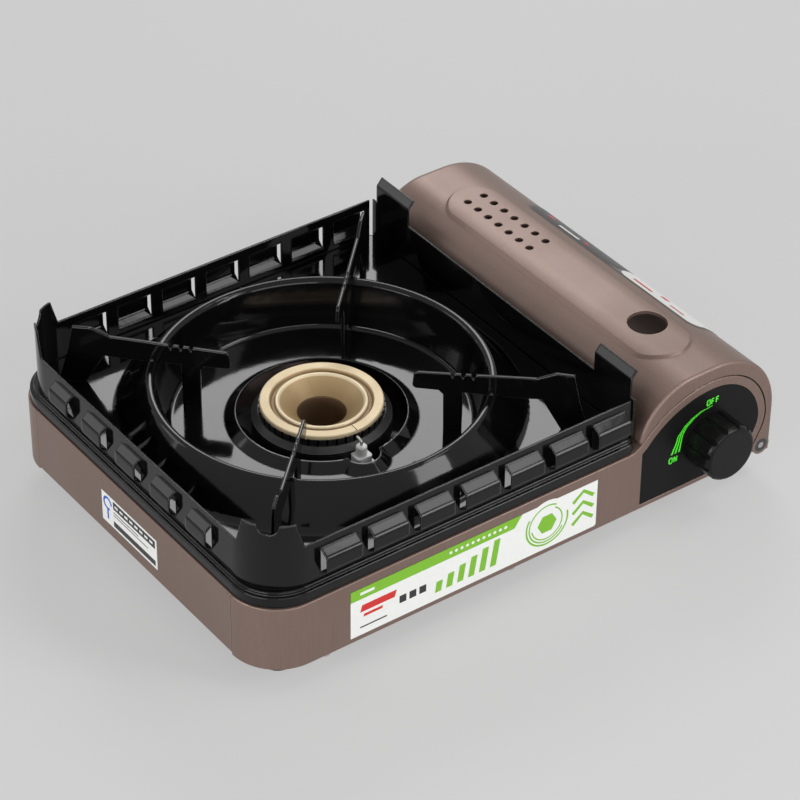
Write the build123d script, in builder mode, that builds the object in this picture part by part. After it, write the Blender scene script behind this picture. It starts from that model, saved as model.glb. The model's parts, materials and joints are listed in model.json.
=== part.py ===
from build123d import *
from math import asin, atan2, cos, degrees, pi, radians, sin, sqrt, tan
import os

os.makedirs("parts", exist_ok=True)

# ---------------------------------------------------------------------------
# Driving dimensions, millimetres. +X runs to the cartridge side, -Y is the
# front with the knob, +Z is up. The origin is the middle of the footprint.
# ---------------------------------------------------------------------------
body_width = 341.0
body_depth = 249.0
knob_reach = 19.0
foot_height = 15.5
wall_top_z = 55.4
sheet = 1.0
body_corner = 28.6
seam = 0.6
seat_gap = 0.3
lip_width = 6.0

left_x = -body_width / 2
right_x = body_width / 2
front_y = knob_reach - (body_depth + knob_reach) / 2
back_y = front_y + body_depth
mid_y = (front_y + back_y) / 2
floor_top_z = foot_height + sheet

# cartridge bay and the arch that closes it at each end
bay_left_x = right_x - 91.5
bay_right_x = right_x - 16.5
bay_wall_z = 38.0
groove = 0.8
arch_x = right_x - 46.0
shoulder_round = 64.0
crown_round = 41.0
cheek_round = 25.0
swoop_round = 12.0
cheek_start = 8.0
cheek_end = -27.0
arch_join_x = right_x - 110.5
arch_top_z = 81.9
arch_flange = 8.0
edge_round = 0.6

# lid of the cartridge bay
lid_top_z = 90.3
lid_left_x = right_x - 95.9
lid_edge_z = 60.0
lid_hem = 1.0
lid_skirt_z = 16.0
lid_right_round = 44.3
lid_left_round = 36.0
lid_front_fillet = 1.8
lid_back_fillet = 5.0
panel_rise = 1.3
panel_x = right_x - 53.2
panel_half_width = 20.3
panel_front_y = front_y + 17.4
panel_back_y = back_y - 26.2
vent_x = right_x - 51.8
vent_radius = 2.4
vent_pitch = 9.65
vent_rows_apart = 11.6
vent_count = 7
vent_mid_y = back_y - 72.2
sight_radius = 11.3
sight_side = 2.0
sight_y = front_y + 52.5

# lid hinge
hinge_x = right_x - 6.5
hinge_z = 20.5
hinge_pin_radius = 1.8
hinge_bush_radius = 4.4
hinge_ear_radius = 5.8
hinge_lug_radius = 4.8
running = 0.05

# burner room and tray
tray_right_x = right_x - 98.0
guard_inset = 4.5
guard_end_x = tray_right_x - 2.5
guard_half = min((tray_right_x - left_x - guard_inset - 0.5) / 2, body_depth / 2 - guard_inset - 1)
burner_x = left_x + guard_inset + guard_half
burner_y = mid_y
rim_inset = 1.2
rim_step = 2.0
rim_step_z = 61.8
tray_floor_z = 64.0
tray_left_round = 27.4
tray_right_round = 4.0
dish_z = 57.0
ridge_foot_radius = guard_half - 8.5
ridge_apex_radius = ridge_foot_radius - 19.1
dish_radius = ridge_apex_radius - 8.4
ridge_apex_z = 88.1
ridge_crest_round = 3.0
collar_hole = 46.8
collar_width = 6.3
collar_height = 4.7
collar_spare = 0.5
notch_radius = 9.5
notch_reach = 45.0
notch_angle = -96.0

# wind guard
guard_round = 28.0
guard_top_z = 88.7
ear_top_z = 104.0
ear_dip_z = 98.5
ear_flat_half = 14.0
ear_dip_half = 6.0
louvre_length = 22.0
louvre_half = 7.8
louvre_face_half = 4.1
louvre_depth = 4.4
front_louvre_depth = 5.9
louvre_bend = 2.2
louvre_mid_z = 75.5
long_count = 7
long_first_x = left_x + 50.4
long_last_x = guard_end_x - 14.4
side_louvre_length = 18.0
side_pitch = (body_depth - 114.2) / 4
side_count = 5
side_offset = 3.8

# heat wall between the tray and the lid
heat_wall_sheet = 0.9
heat_wall_foot_z = 58.2
heat_wall_top_z = 88.3
heat_wall_front_y = front_y + 5.0
heat_wall_back_y = back_y - 5.0
heat_ear_fold_z = 99.5
heat_ear_top_z = 104.0
heat_ear_lean = 3.6
heat_ear_length = 31.0
heat_ear_front_y = front_y + 8.0
heat_ear_back_y = back_y - 9.0
heat_ear_bend = 1.5

# pot supports
support_sheet = 1.8
support_inner_radius = 49.5
support_outer_radius = guard_half + 18.0
support_top_z = 100.6
support_arm_z = 93.0
support_under_z = 82.6
support_leg_in = 66.5
support_leg_out = 76.8
support_foot_in = support_outer_radius - 6.0
support_foot_out = support_outer_radius + 9.0
tooth_depth = 2.2
tooth_first = 71.5
tooth_pitch = 5.6

# burner
bowl_radius = 38.5
bowl_wall = 2.0
bowl_foot_z = 25.2
bowl_top_z = 58.0
centre_tube_radius = 15.8
centre_hole_radius = 13.8
port_ring_radius = 34.5
port_ring_wall = 4.0
port_base_z = 62.0
port_top_z = 66.0
port_count = 42
port_width = 1.7
cap_radius = 33.9
cap_top_z = 68.3
tube_z = 38.0
tube_radius = 8.8
tube_wall = 1.0
tube_angle = -45.0

# knob, spindle, cam and piezo igniter
spindle_x = arch_x
spindle_z = 43.1
spindle_radius = 3.0
knob_radius = 16.9
knob_gap = 0.5
knob_ribs = 12
knob_rib_gap = 3.4
knob_groove_depth = 1.3
cam_low = 9.0
cam_rise = 5.0
knob_turn = 95.0
cam_thickness = 3.5
cam_front_y = front_y + 4.0
plunger_radius = 2.6
plunger_gap = 0.3
piezo_right_x = spindle_x - 20.5
piezo_length = 22.0
piezo_height = 13.0

# regulator and cartridge seat
cartridge_radius = 34.5
cartridge_x = right_x - 53.2
cartridge_z = 53.3
bulkhead_y = front_y + 30.8
bulkhead_sheet = 1.2
regulator_front_y = front_y + 11.5
seat_y = bulkhead_y + bulkhead_sheet

# fascia
fascia_sheet = 0.8
fascia_inset = 5.4
fascia_left_x = right_x - 94.0
fascia_bottom_z = 18.1

# points and radii that several pieces share
arch_top_line = wall_top_z + groove / 2
shoulder_centre = (arch_x, arch_top_z - shoulder_round)
crown_centre = (arch_x, arch_top_z - crown_round)
swoop_z = arch_top_line + swoop_round
swoop_x = arch_x - sqrt((shoulder_round + swoop_round) ** 2 - (swoop_z - shoulder_centre[1]) ** 2)
swoop_centre = (swoop_x, swoop_z)
front_seam_y = front_y + body_corner
back_seam_y = back_y - body_corner
skirt_bottom_z = wall_top_z + seat_gap
cam_mid_y = cam_front_y + cam_thickness / 2


def polar(centre, radius, angle):
    """Point at a radius and an angle in degrees from a centre, in a plane's own coordinates."""
    return (centre[0] + radius * cos(radians(angle)), centre[1] + radius * sin(radians(angle)))


def upright(y):
    """Plane across the stove at depth y, on which a sketch reads as (x, z)."""
    return Plane.XZ.offset(-y)


def radial(angle, z=0.0):
    """Upright plane through the burner axis, on which a sketch reads as (radius, height)."""
    a = radians(angle)
    return Plane((burner_x, burner_y, z), x_dir=(cos(a), sin(a), 0), z_dir=(sin(a), -cos(a), 0))


def burner_point(radius, angle, z):
    """Point given by its radius and angle about the burner axis, and its height."""
    x, y = polar((burner_x, burner_y), radius, angle)
    return (x, y, z)


burner_axis = Axis((burner_x, burner_y, 0), (0, 0, 1))
cheek_centre = polar(crown_centre, crown_round - cheek_round, cheek_start)
swoop_angle = degrees(atan2(swoop_centre[1] - shoulder_centre[1], swoop_centre[0] - shoulder_centre[0]))


def arch_face(y, inset, left_end, foot_z, foot_round=0.0):
    """End outline of the cartridge bay: flat top, swoop, shoulder, crown and cheek, moved in by inset."""
    cheek_foot = polar(cheek_centre, cheek_round - inset, cheek_end)
    run = (cheek_foot[1] - foot_z) / cos(radians(cheek_end))
    foot = (cheek_foot[0] + run * sin(radians(cheek_end)), foot_z)
    top_z = arch_top_line - inset
    with BuildSketch(upright(y), mode=Mode.PRIVATE) as outline:
        start_x = min(left_end, arch_join_x)
        with BuildLine():
            Line((start_x, top_z), (swoop_x, top_z))
            CenterArc(swoop_centre, swoop_round + inset, -90, swoop_angle - 90)
            CenterArc(shoulder_centre, shoulder_round - inset, swoop_angle, 90 - swoop_angle)
            CenterArc(crown_centre, crown_round - inset, 90, cheek_start - 90)
            CenterArc(cheek_centre, cheek_round - inset, cheek_start, cheek_end - cheek_start)
            Line(cheek_foot, foot)
            Polyline(foot, (start_x, foot_z), (start_x, top_z))
        make_face()
        with Locations((left_end, foot_z)):
            Rectangle(body_width, arch_top_z, align=(Align.MIN, Align.MIN), mode=Mode.INTERSECT)
        if foot_round:
            fillet(outline.vertices().group_by(Axis.Y)[0].sort_by(Axis.X)[-1], foot_round)
    return outline.sketch


def corner_band(z, outer_y, inward, width, end_x):
    """Plan of a band that follows an end wall, round the left corner, from the seam to end_x."""
    turn_y = outer_y + inward * body_corner
    inner_y = outer_y + inward * width
    centre = (left_x + body_corner, turn_y)
    with BuildSketch(Plane.XY.offset(z), mode=Mode.PRIVATE) as band:
        with BuildLine():
            CenterArc(centre, body_corner, 180, 90 * inward)
            Line((left_x + body_corner, outer_y), (end_x, outer_y))
            Line((end_x, outer_y), (end_x, inner_y))
            Line((end_x, inner_y), (left_x + body_corner, inner_y))
            CenterArc(centre, body_corner - width, 180, 90 * inward)
            Line((left_x + width, turn_y), (left_x, turn_y))
        make_face()
    return band.sketch


def lid_face(y, grow, edge_z, skirt_z):
    """Cross-section of the lid as a closed D, grown outward by grow."""
    right_centre = (right_x - lid_right_round, lid_top_z - lid_right_round)
    left_centre = (lid_left_x + lid_left_round, lid_top_z - lid_left_round)
    foot_x = lid_left_x + lip_width
    left_radius = lid_left_round + grow
    hem_rise = max(edge_z + lid_hem - left_centre[1], 0)
    hem_angle = 180 - degrees(asin(hem_rise / left_radius))
    hem_top = polar(left_centre, left_radius, hem_angle)
    with BuildSketch(upright(y), mode=Mode.PRIVATE) as section:
        with BuildLine():
            Line((right_x + grow, skirt_z), (right_x + grow, right_centre[1]))
            CenterArc(right_centre, lid_right_round + grow, 0, 90)
            Line((right_centre[0], lid_top_z + grow), (left_centre[0], lid_top_z + grow))
            CenterArc(left_centre, left_radius, 90, hem_angle - 90)
            Polyline(hem_top, (hem_top[0], edge_z), (foot_x, edge_z), (foot_x, skirt_z))
            Line((foot_x, skirt_z), (right_x + grow, skirt_z))
        make_face()
    return section.sketch


def rounded_plan(z, x, y, left_radius, right_radius=0.0):
    """Rectangle between pairs of x and y, with round corners on the left and maybe on the right."""
    with BuildSketch(Plane.XY.offset(z), mode=Mode.PRIVATE) as plan:
        with Locations(((x[0] + x[1]) / 2, (y[0] + y[1]) / 2)):
            Rectangle(x[1] - x[0], y[1] - y[0])
        fillet(plan.vertices().group_by(Axis.X)[0], left_radius)
        if right_radius:
            fillet(plan.vertices().group_by(Axis.X)[-1], right_radius)
    return plan.sketch


def tray_face(z, inset, right_inset):
    """Plan of the tray with large corners on the left and small ones beside the lid."""
    x = (left_x + rim_inset + inset, tray_right_x - right_inset)
    y = (front_y + rim_inset + inset, back_y - rim_inset - inset)
    return rounded_plan(z, x, y, tray_left_round - inset, tray_right_round - right_inset)


def block(x, y, z, mode=Mode.ADD):
    """Box between pairs of x, y and z."""
    with Locations((x[0], y[0], z[0])):
        Box(x[1] - x[0], y[1] - y[0], z[1] - z[0], align=(Align.MIN, Align.MIN, Align.MIN), mode=mode)


def bar_y(x, z, radius, y0, y1, mode=Mode.ADD):
    """Round bar along Y from y0 to y1."""
    with BuildSketch(upright(y0), mode=Mode.PRIVATE) as disc:
        with Locations((x, z)):
            Circle(radius)
    extrude(disc.sketch, amount=y1 - y0, dir=(0, 1, 0), mode=mode)


def bar_z(x, y, radius, z0, z1, mode=Mode.ADD):
    """Upright round bar from z0 to z1."""
    with Locations((x, y, z0)):
        Cylinder(radius, z1 - z0, align=(Align.CENTER, Align.CENTER, Align.MIN), mode=mode)


def near(value, target):
    """True where two lengths agree to a hundredth of a millimetre."""
    return abs(value - target) < 0.01


# ---------------------------------------------------------------------------
# Body: a bent channel with an end panel at the front and one at the back
# ---------------------------------------------------------------------------
vent_slot_length = 20.0
vent_slot_width = 4.0
vent_slot_count = 7
vent_slot_pitch = 12.0
case_screw_radius = 1.8
case_screw_inset = 3.8
case_screw_xs = (left_x + 40.5, burner_x + 37.0, right_x - 40.5)
bracket_foot_half = 68.0
bracket_half = 62.0
bracket_width = 36.0
bracket_sheet = 1.2
bracket_screw_radius = 1.9
bracket_screw_half = 8.0
screw_clearance = 0.1
bottom_fillet = 2.0
edge_fillet = 0.8

with BuildPart() as body_shell:
    inner_y = (front_y + sheet, back_y - sheet)
    side_y = (front_seam_y + seam, back_seam_y - seam)
    extrude(
        rounded_plan(foot_height, (left_x + sheet, bay_right_x), inner_y, body_corner - sheet),
        amount=sheet,
    )
    block((left_x, left_x + 2 * lip_width), side_y, (foot_height, wall_top_z))
    outer_edges = body_shell.edges().filter_by(Axis.Y).filter_by(lambda e: near(e.center().X, left_x))
    fillet(outer_edges.sort_by(Axis.Z)[0], bottom_fillet)
    fillet(body_shell.edges().filter_by(Axis.Y).group_by(Axis.Z)[-1].sort_by(Axis.X)[0], edge_fillet)
    hollow_x = (left_x + sheet, left_x + 3 * lip_width)
    block(hollow_x, side_y, (floor_top_z, wall_top_z - sheet), mode=Mode.SUBTRACT)
    block((left_x + lip_width, hollow_x[1]), side_y, (floor_top_z, wall_top_z), mode=Mode.SUBTRACT)
    wall_y = (inner_y[0] + sheet, inner_y[1] - sheet)
    block((bay_right_x - sheet, bay_right_x), wall_y, (foot_height, bay_wall_z))
    with BuildSketch(Plane.XY.offset(foot_height)):
        for row in (-1, 1):
            with Locations((burner_x, mid_y + row * (vent_slot_length + vent_slot_width))):
                with GridLocations(vent_slot_pitch, 1, vent_slot_count, 1):
                    SlotOverall(vent_slot_length, vent_slot_width, rotation=90)
        with Locations((burner_x, mid_y)):
            with GridLocations(2 * bracket_screw_half, 2 * bracket_foot_half, 2, 2):
                Circle(bracket_screw_radius + screw_clearance)
        for x in case_screw_xs:
            for y in (front_y + case_screw_inset, back_y - case_screw_inset):
                with Locations((x, y)):
                    Circle(case_screw_radius + screw_clearance)
    extrude(amount=sheet, mode=Mode.SUBTRACT)
body_shell.part.label = "body_shell"
export_step(body_shell.part, "parts/body_shell.step")


hinge_room_width = lid_right_round
hinge_room_height = hinge_lug_radius + 2 * lip_width


def end_panel(outer_y, inward):
    """Adds an end wall with its corner, lips, arch and flange to the part being built."""
    into = (0, inward, 0)
    lip_end_x = case_screw_xs[-1] + 4 * sheet
    extrude(corner_band(foot_height, outer_y, inward, sheet, arch_join_x), amount=wall_top_z - foot_height)
    extrude(arch_face(outer_y, groove / 2, arch_join_x, foot_height), amount=sheet, dir=into)
    extrude(corner_band(floor_top_z, outer_y, inward, lip_width, lip_end_x), amount=sheet)
    extrude(corner_band(wall_top_z - sheet, outer_y, inward, lip_width, arch_join_x), amount=sheet)
    extrude(arch_face(outer_y, groove / 2, arch_join_x, foot_height), amount=arch_flange, dir=into)
    inner_y = outer_y + inward * sheet
    inner = arch_face(inner_y, groove / 2 + sheet, arch_join_x - lip_width, foot_height - lip_width)
    extrude(inner, amount=arch_flange, dir=into, mode=Mode.SUBTRACT)
    with BuildSketch(upright(inner_y), mode=Mode.PRIVATE) as hinge_room:
        with Locations((cheek_centre[0], foot_height)):
            Rectangle(hinge_room_width, hinge_room_height, align=(Align.MIN, Align.MIN))
    extrude(hinge_room.sketch, amount=arch_flange, dir=into, mode=Mode.SUBTRACT)
    extrude(corner_band(floor_top_z, outer_y, inward, lip_width, lip_end_x), amount=sheet)
    with BuildSketch(Plane.XY.offset(floor_top_z), mode=Mode.PRIVATE) as screw_holes:
        for x in case_screw_xs:
            with Locations((x, outer_y + inward * case_screw_inset)):
                Circle(case_screw_radius + screw_clearance)
    extrude(screw_holes.sketch, amount=sheet, mode=Mode.SUBTRACT)


def fascia_face(y, grow):
    """Outline of the fascia plate, grown by grow."""
    left_end = fascia_left_x - grow
    return arch_face(y, fascia_inset - grow, left_end, fascia_bottom_z - grow, fascia_corner + grow)


bush_radius = 6.0
bush_flange_radius = 7.4
bush_length = 3.5
fascia_corner = 5.0
fascia_back_y = front_y + fascia_sheet + sheet
air_slot_length = 18.0
air_slot_width = 3.2
air_slot_pitch = 26.0
air_slot_count = 6
air_slot_z = 43.0


def round_top_edge(panel, outer_y):
    """Rounds the outer top edge of an end panel, from its corner over the arch to the cheek."""
    along_wall = panel.edges().filter_by(lambda e: near(e.bounding_box().min.Y, e.bounding_box().max.Y))
    on_face = along_wall.filter_by(lambda e: near(e.center().Y, outer_y))
    fillet(on_face.filter_by(lambda e: e.center().Z > spindle_z), edge_round)


with BuildPart() as front_panel:
    end_panel(front_y, 1)
    round_top_edge(front_panel, front_y)
    extrude(fascia_face(front_y + fascia_sheet, fascia_bottom_z - floor_top_z), amount=sheet, dir=(0, 1, 0))
    extrude(fascia_face(front_y, 0), amount=fascia_sheet, dir=(0, 1, 0), mode=Mode.SUBTRACT)
    bar_y(spindle_x, spindle_z, bush_radius, front_y, fascia_back_y, mode=Mode.SUBTRACT)
front_panel.part.label = "front_panel"
export_step(front_panel.part, "parts/front_panel.step")

with BuildPart() as rear_panel:
    end_panel(back_y, -1)
    round_top_edge(rear_panel, back_y)
    with BuildSketch(upright(back_y - sheet)):
        with Locations((burner_x, air_slot_z)):
            with GridLocations(air_slot_pitch, 1, air_slot_count, 1):
                SlotOverall(air_slot_length, air_slot_width)
    extrude(amount=sheet, dir=(0, 1, 0), mode=Mode.SUBTRACT)
rear_panel.part.label = "rear_panel"
export_step(rear_panel.part, "parts/rear_panel.step")

with BuildPart() as fascia_plate:
    extrude(fascia_face(front_y, -screw_clearance), amount=fascia_sheet, dir=(0, 1, 0))
    bar_y(spindle_x, spindle_z, bush_radius + screw_clearance, front_y, front_y + sheet, mode=Mode.SUBTRACT)
fascia_plate.part.label = "fascia_plate"
export_step(fascia_plate.part, "parts/fascia_plate.step")

# ---------------------------------------------------------------------------
# Knob, spindle, its bush, and the cam that presses the piezo igniter
# ---------------------------------------------------------------------------
knob_back_y = front_y - knob_gap
knob_front_y = front_y - knob_reach
knob_wall = 2.2
knob_face = 2.6
knob_edge_round = 2.8
knob_hub_radius = 6.0
spindle_end_gap = 1.0
spindle_back_y = regulator_front_y + 4.5
bush_front_y = front_y + screw_clearance
spindle_chamfer = 0.4
knob_first_rib = 15.0
cam_steps = 8
cam_centre = (0, 0)
plunger_side = 180.0
cam_dwell = 10.0
cam_fall = 15.0
dwell_end = 180.0 - knob_turn - cam_dwell
fall_end = dwell_end - cam_fall
groove_cutter = knob_rib_gap**2 / (8 * knob_groove_depth) + knob_groove_depth / 2


def spindle_plane(y):
    """Plane square to the spindle, facing the front, with its origin on the spindle's axis."""
    return Plane((spindle_x, y, spindle_z), x_dir=(1, 0, 0), z_dir=(0, -1, 0))


with BuildPart() as control_knob:
    with BuildSketch(spindle_plane(knob_back_y)):
        Circle(knob_radius)
    extrude(amount=knob_back_y - knob_front_y)
    fillet(control_knob.faces().sort_by(Axis.Y)[0].edges(), knob_edge_round)
    with BuildSketch(spindle_plane(knob_back_y)):
        Circle(knob_radius - knob_wall - knob_groove_depth)
        Circle(knob_hub_radius, mode=Mode.SUBTRACT)
    extrude(amount=knob_back_y - knob_front_y - knob_face, mode=Mode.SUBTRACT)
    with BuildSketch(spindle_plane(knob_back_y)):
        Circle(spindle_radius + running)
    extrude(amount=knob_back_y - knob_front_y - knob_face, mode=Mode.SUBTRACT)
    with BuildSketch(spindle_plane(knob_back_y)):
        cutter_reach = knob_radius - knob_groove_depth + groove_cutter
        with PolarLocations(cutter_reach, knob_ribs, start_angle=knob_first_rib):
            Circle(groove_cutter)
    extrude(amount=knob_back_y - knob_front_y, mode=Mode.SUBTRACT)
control_knob.part.label = "control_knob"
export_step(control_knob.part, "parts/control_knob.step")

with BuildPart() as valve_spindle:
    bar_y(spindle_x, spindle_z, spindle_radius, knob_front_y + knob_face + spindle_end_gap, spindle_back_y)
    chamfer(valve_spindle.edges(), spindle_chamfer)
valve_spindle.part.label = "valve_spindle"
export_step(valve_spindle.part, "parts/valve_spindle.step")

with BuildPart() as spindle_bush:
    bar_y(spindle_x, spindle_z, bush_radius, bush_front_y, bush_front_y + bush_length)
    bar_y(spindle_x, spindle_z, bush_flange_radius, fascia_back_y, fascia_back_y + sheet)
    bore_end = bush_front_y + bush_length
    bar_y(spindle_x, spindle_z, spindle_radius + running, bush_front_y, bore_end, mode=Mode.SUBTRACT)
spindle_bush.part.label = "spindle_bush"
export_step(spindle_bush.part, "parts/spindle_bush.step")

with BuildPart() as ignition_cam:
    with BuildSketch(spindle_plane(cam_front_y + cam_thickness)):
        with BuildLine():
            shares = [step / cam_steps for step in range(cam_steps + 1)]
            Spline(*[
                polar(cam_centre, cam_low + cam_rise * share, plunger_side - knob_turn * share)
                for share in shares
            ])
            CenterArc(cam_centre, cam_low + cam_rise, plunger_side - knob_turn, -cam_dwell)
            Line(polar(cam_centre, cam_low + cam_rise, dwell_end), polar(cam_centre, cam_low, fall_end))
            CenterArc(cam_centre, cam_low, fall_end, -plunger_side - fall_end)
        make_face()
        Circle(spindle_radius + running, mode=Mode.SUBTRACT)
    extrude(amount=cam_thickness)
ignition_cam.part.label = "ignition_cam"
export_step(ignition_cam.part, "parts/ignition_cam.step")

plunger_tip_x = spindle_x - cam_low - plunger_gap
plunger_length = 18.7
plunger_bore = 14.0
piezo_x = (piezo_right_x - piezo_length, piezo_right_x)
piezo_half_depth = cam_mid_y - fascia_back_y
piezo_y = (fascia_back_y, cam_mid_y + piezo_half_depth)
piezo_z = (spindle_z - piezo_height / 2, spindle_z + piezo_height / 2)
lead_socket = 2.5
piezo_edge_round = 1.5


def plunger_plane(x):
    """Plane square to the plunger, facing the cam, with its origin on the plunger's axis."""
    return Plane((x, cam_mid_y, spindle_z), x_dir=(0, 1, 0), z_dir=(1, 0, 0))


with BuildPart() as piezo_unit:
    block(piezo_x, piezo_y, piezo_z)
    fillet(piezo_unit.edges().filter_by(Axis.X), piezo_edge_round)
    with BuildSketch(plunger_plane(piezo_x[0] - lead_socket)):
        Circle(plunger_radius)
    extrude(amount=lead_socket)
    with BuildSketch(plunger_plane(piezo_right_x - plunger_bore)):
        Circle(plunger_radius + running)
    extrude(amount=plunger_bore, mode=Mode.SUBTRACT)
piezo_unit.part.label = "piezo_unit"
export_step(piezo_unit.part, "parts/piezo_unit.step")

with BuildPart() as piezo_plunger:
    with BuildSketch(plunger_plane(plunger_tip_x - plunger_length)):
        Circle(plunger_radius)
    extrude(amount=plunger_length)
    fillet(piezo_plunger.faces().sort_by(Axis.X)[-1].edges(), plunger_radius - spindle_chamfer)
piezo_plunger.part.label = "piezo_plunger"
export_step(piezo_plunger.part, "parts/piezo_plunger.step")

# ---------------------------------------------------------------------------
# Lid of the cartridge bay and its hinge
# ---------------------------------------------------------------------------
panel_slope = 45.0
inner_drop = 4 * sheet
ear_clear_x = hinge_x - 2 * hinge_ear_radius
ear_clear_top_z = hinge_z + 2.0

with BuildPart() as lid_panel:
    extrude(
        lid_face(panel_front_y, panel_rise, lid_edge_z, lid_skirt_z),
        amount=panel_back_y - panel_front_y,
        dir=(0, 1, 0),
    )
    with BuildSketch(Plane.XY.offset(lid_top_z - 3 * sheet)):
        with Locations((panel_x, (panel_front_y + panel_back_y) / 2)):
            SlotOverall(panel_back_y - panel_front_y, 2 * panel_half_width, rotation=90)
    extrude(amount=4 * sheet + panel_rise, taper=panel_slope, mode=Mode.INTERSECT)

with BuildPart() as lid_hollow:
    hollow = lid_face(front_y + sheet, -sheet, lid_edge_z - inner_drop, lid_skirt_z - inner_drop)
    extrude(hollow, amount=body_depth - 2 * sheet, dir=(0, 1, 0))
    back_edges = lid_hollow.faces().sort_by(Axis.Y)[-1].edges()
    fillet(back_edges.filter_by(lambda e: e.center().Z > lid_edge_z), lid_back_fillet - sheet)

with BuildPart() as cartridge_lid:
    extrude(lid_face(front_y, 0, lid_edge_z, lid_skirt_z), amount=body_depth, dir=(0, 1, 0))
    front_edges = cartridge_lid.faces().sort_by(Axis.Y)[0].edges()
    fillet(front_edges.filter_by(lambda e: e.center().Z > lid_edge_z), lid_front_fillet)
    back_edges = cartridge_lid.faces().sort_by(Axis.Y)[-1].edges()
    fillet(back_edges.filter_by(lambda e: e.center().Z > lid_edge_z), lid_back_fillet)
    add(lid_panel.part)
    add(lid_hollow.part, mode=Mode.SUBTRACT)
    mouth = arch_face(front_y, -groove / 2, arch_join_x, lid_skirt_z - 2 * inner_drop)
    extrude(mouth, amount=body_depth, dir=(0, 1, 0), mode=Mode.SUBTRACT)
    block((ear_clear_x, hinge_x), (front_y, back_y), (foot_height, ear_clear_top_z), mode=Mode.SUBTRACT)
    for ear_y in (front_y, back_y - sheet):
        bar_y(hinge_x, hinge_z, hinge_ear_radius, ear_y, ear_y + sheet)
    bar_y(hinge_x, hinge_z, hinge_bush_radius, front_y, back_y, mode=Mode.SUBTRACT)
    with BuildSketch(Plane.XY.offset(lid_top_z - 2 * sheet)):
        with Locations((vent_x, vent_mid_y)):
            with GridLocations(vent_rows_apart, vent_pitch, 2, vent_count):
                Circle(vent_radius)
        with Locations((vent_x + sight_side, sight_y)):
            Circle(sight_radius)
    extrude(amount=4 * sheet, mode=Mode.SUBTRACT)
cartridge_lid.part.label = "cartridge_lid"
export_step(cartridge_lid.part, "parts/cartridge_lid.step")

with BuildPart() as lid_hinge_bushes:
    for bush_y in (front_y, back_y - sheet):
        bar_y(hinge_x, hinge_z, hinge_bush_radius, bush_y, bush_y + sheet)
        pin_hole = hinge_pin_radius + running
        bar_y(hinge_x, hinge_z, pin_hole, bush_y, bush_y + sheet, mode=Mode.SUBTRACT)
lid_hinge_bushes.part.label = "lid_hinge_bushes"
export_step(lid_hinge_bushes.part, "parts/lid_hinge_bushes.step")

# a lug plate stands behind each ear, on a flange fixed to the bay wall, and holds the pin
lug_gap = 0.4
rear_lug_gap = 3.0
lug_sheet = 1.2
lug_flange_length = 14.0
lug_top_z = hinge_z + 2.3
lug_bottom_z = floor_top_z + 0.2
pin_tail = 0.8
pin_tail_radius = 3.2

with BuildPart() as lid_hinge_pins:
    front_tail_y = front_y + sheet + lug_gap + lug_sheet
    rear_tail_y = back_y - sheet - rear_lug_gap - lug_sheet
    bar_y(hinge_x, hinge_z, hinge_pin_radius, front_y, front_tail_y)
    bar_y(hinge_x, hinge_z, pin_tail_radius, front_tail_y, front_tail_y + pin_tail)
    bar_y(hinge_x, hinge_z, hinge_pin_radius, rear_tail_y, back_y)
    bar_y(hinge_x, hinge_z, pin_tail_radius, rear_tail_y - pin_tail, rear_tail_y)
lid_hinge_pins.part.label = "lid_hinge_pins"
export_step(lid_hinge_pins.part, "parts/lid_hinge_pins.step")


def hinge_bracket(lug_y, flange_y):
    """Adds a lug plate and its flange to the part being built."""
    bar_y(hinge_x, hinge_z, hinge_lug_radius, lug_y, lug_y + lug_sheet)
    block((bay_right_x, hinge_x), (lug_y, lug_y + lug_sheet), (lug_bottom_z, lug_top_z))
    flange_ends = (flange_y, flange_y + lug_flange_length)
    block((bay_right_x, bay_right_x + lug_sheet), flange_ends, (lug_bottom_z, lug_top_z))
    bar_y(hinge_x, hinge_z, hinge_pin_radius, lug_y, lug_y + lug_sheet, mode=Mode.SUBTRACT)


front_lug_y = front_y + sheet + lug_gap
rear_lug_y = back_y - sheet - rear_lug_gap - lug_sheet

with BuildPart() as hinge_bracket_front:
    hinge_bracket(front_lug_y, front_lug_y)
hinge_bracket_front.part.label = "hinge_bracket_front"
export_step(hinge_bracket_front.part, "parts/hinge_bracket_front.step")

with BuildPart() as hinge_bracket_rear:
    hinge_bracket(rear_lug_y, rear_lug_y + lug_sheet - lug_flange_length)
hinge_bracket_rear.part.label = "hinge_bracket_rear"
export_step(hinge_bracket_rear.part, "parts/hinge_bracket_rear.step")

# ---------------------------------------------------------------------------
# Tray: stepped rim, dish, revolved ridge and raised collar round the burner
# ---------------------------------------------------------------------------
ridge_floor_round = 3.0
ridge_foot_round = 6.0
ridge_lap = 5.0
collar_slope = degrees(atan2(collar_width, collar_height))
collar_drop = sheet / cos(radians(90 - collar_slope))
tray_edge_round = 0.7
rivet_radius = 1.0
rivet_head_radius = 1.7
rivet_head = 0.6
rivet_z = 61.0
rivet_count = 4
rivet_pitch = 60.0
rivet_ys = [burner_y + (place - (rivet_count - 1) / 2) * rivet_pitch for place in range(rivet_count)]

# the round crest's centre lies on the bisector of the two slopes that meet at the ridge's apex
inner_slope = atan2(ridge_apex_z - dish_z, ridge_apex_radius - dish_radius)
outer_slope = atan2(ridge_apex_z - tray_floor_z, ridge_foot_radius - ridge_apex_radius)
apex_half = (pi - inner_slope - outer_slope) / 2
crest_drop = ridge_crest_round / sin(apex_half)
crest_lean = outer_slope + apex_half
crest_centre = (
    ridge_apex_radius + crest_drop * cos(crest_lean),
    ridge_apex_z - crest_drop * sin(crest_lean),
)
crest_top_z = crest_centre[1] + ridge_crest_round
notch_centre = polar((burner_x, burner_y), notch_reach, notch_angle)

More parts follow.
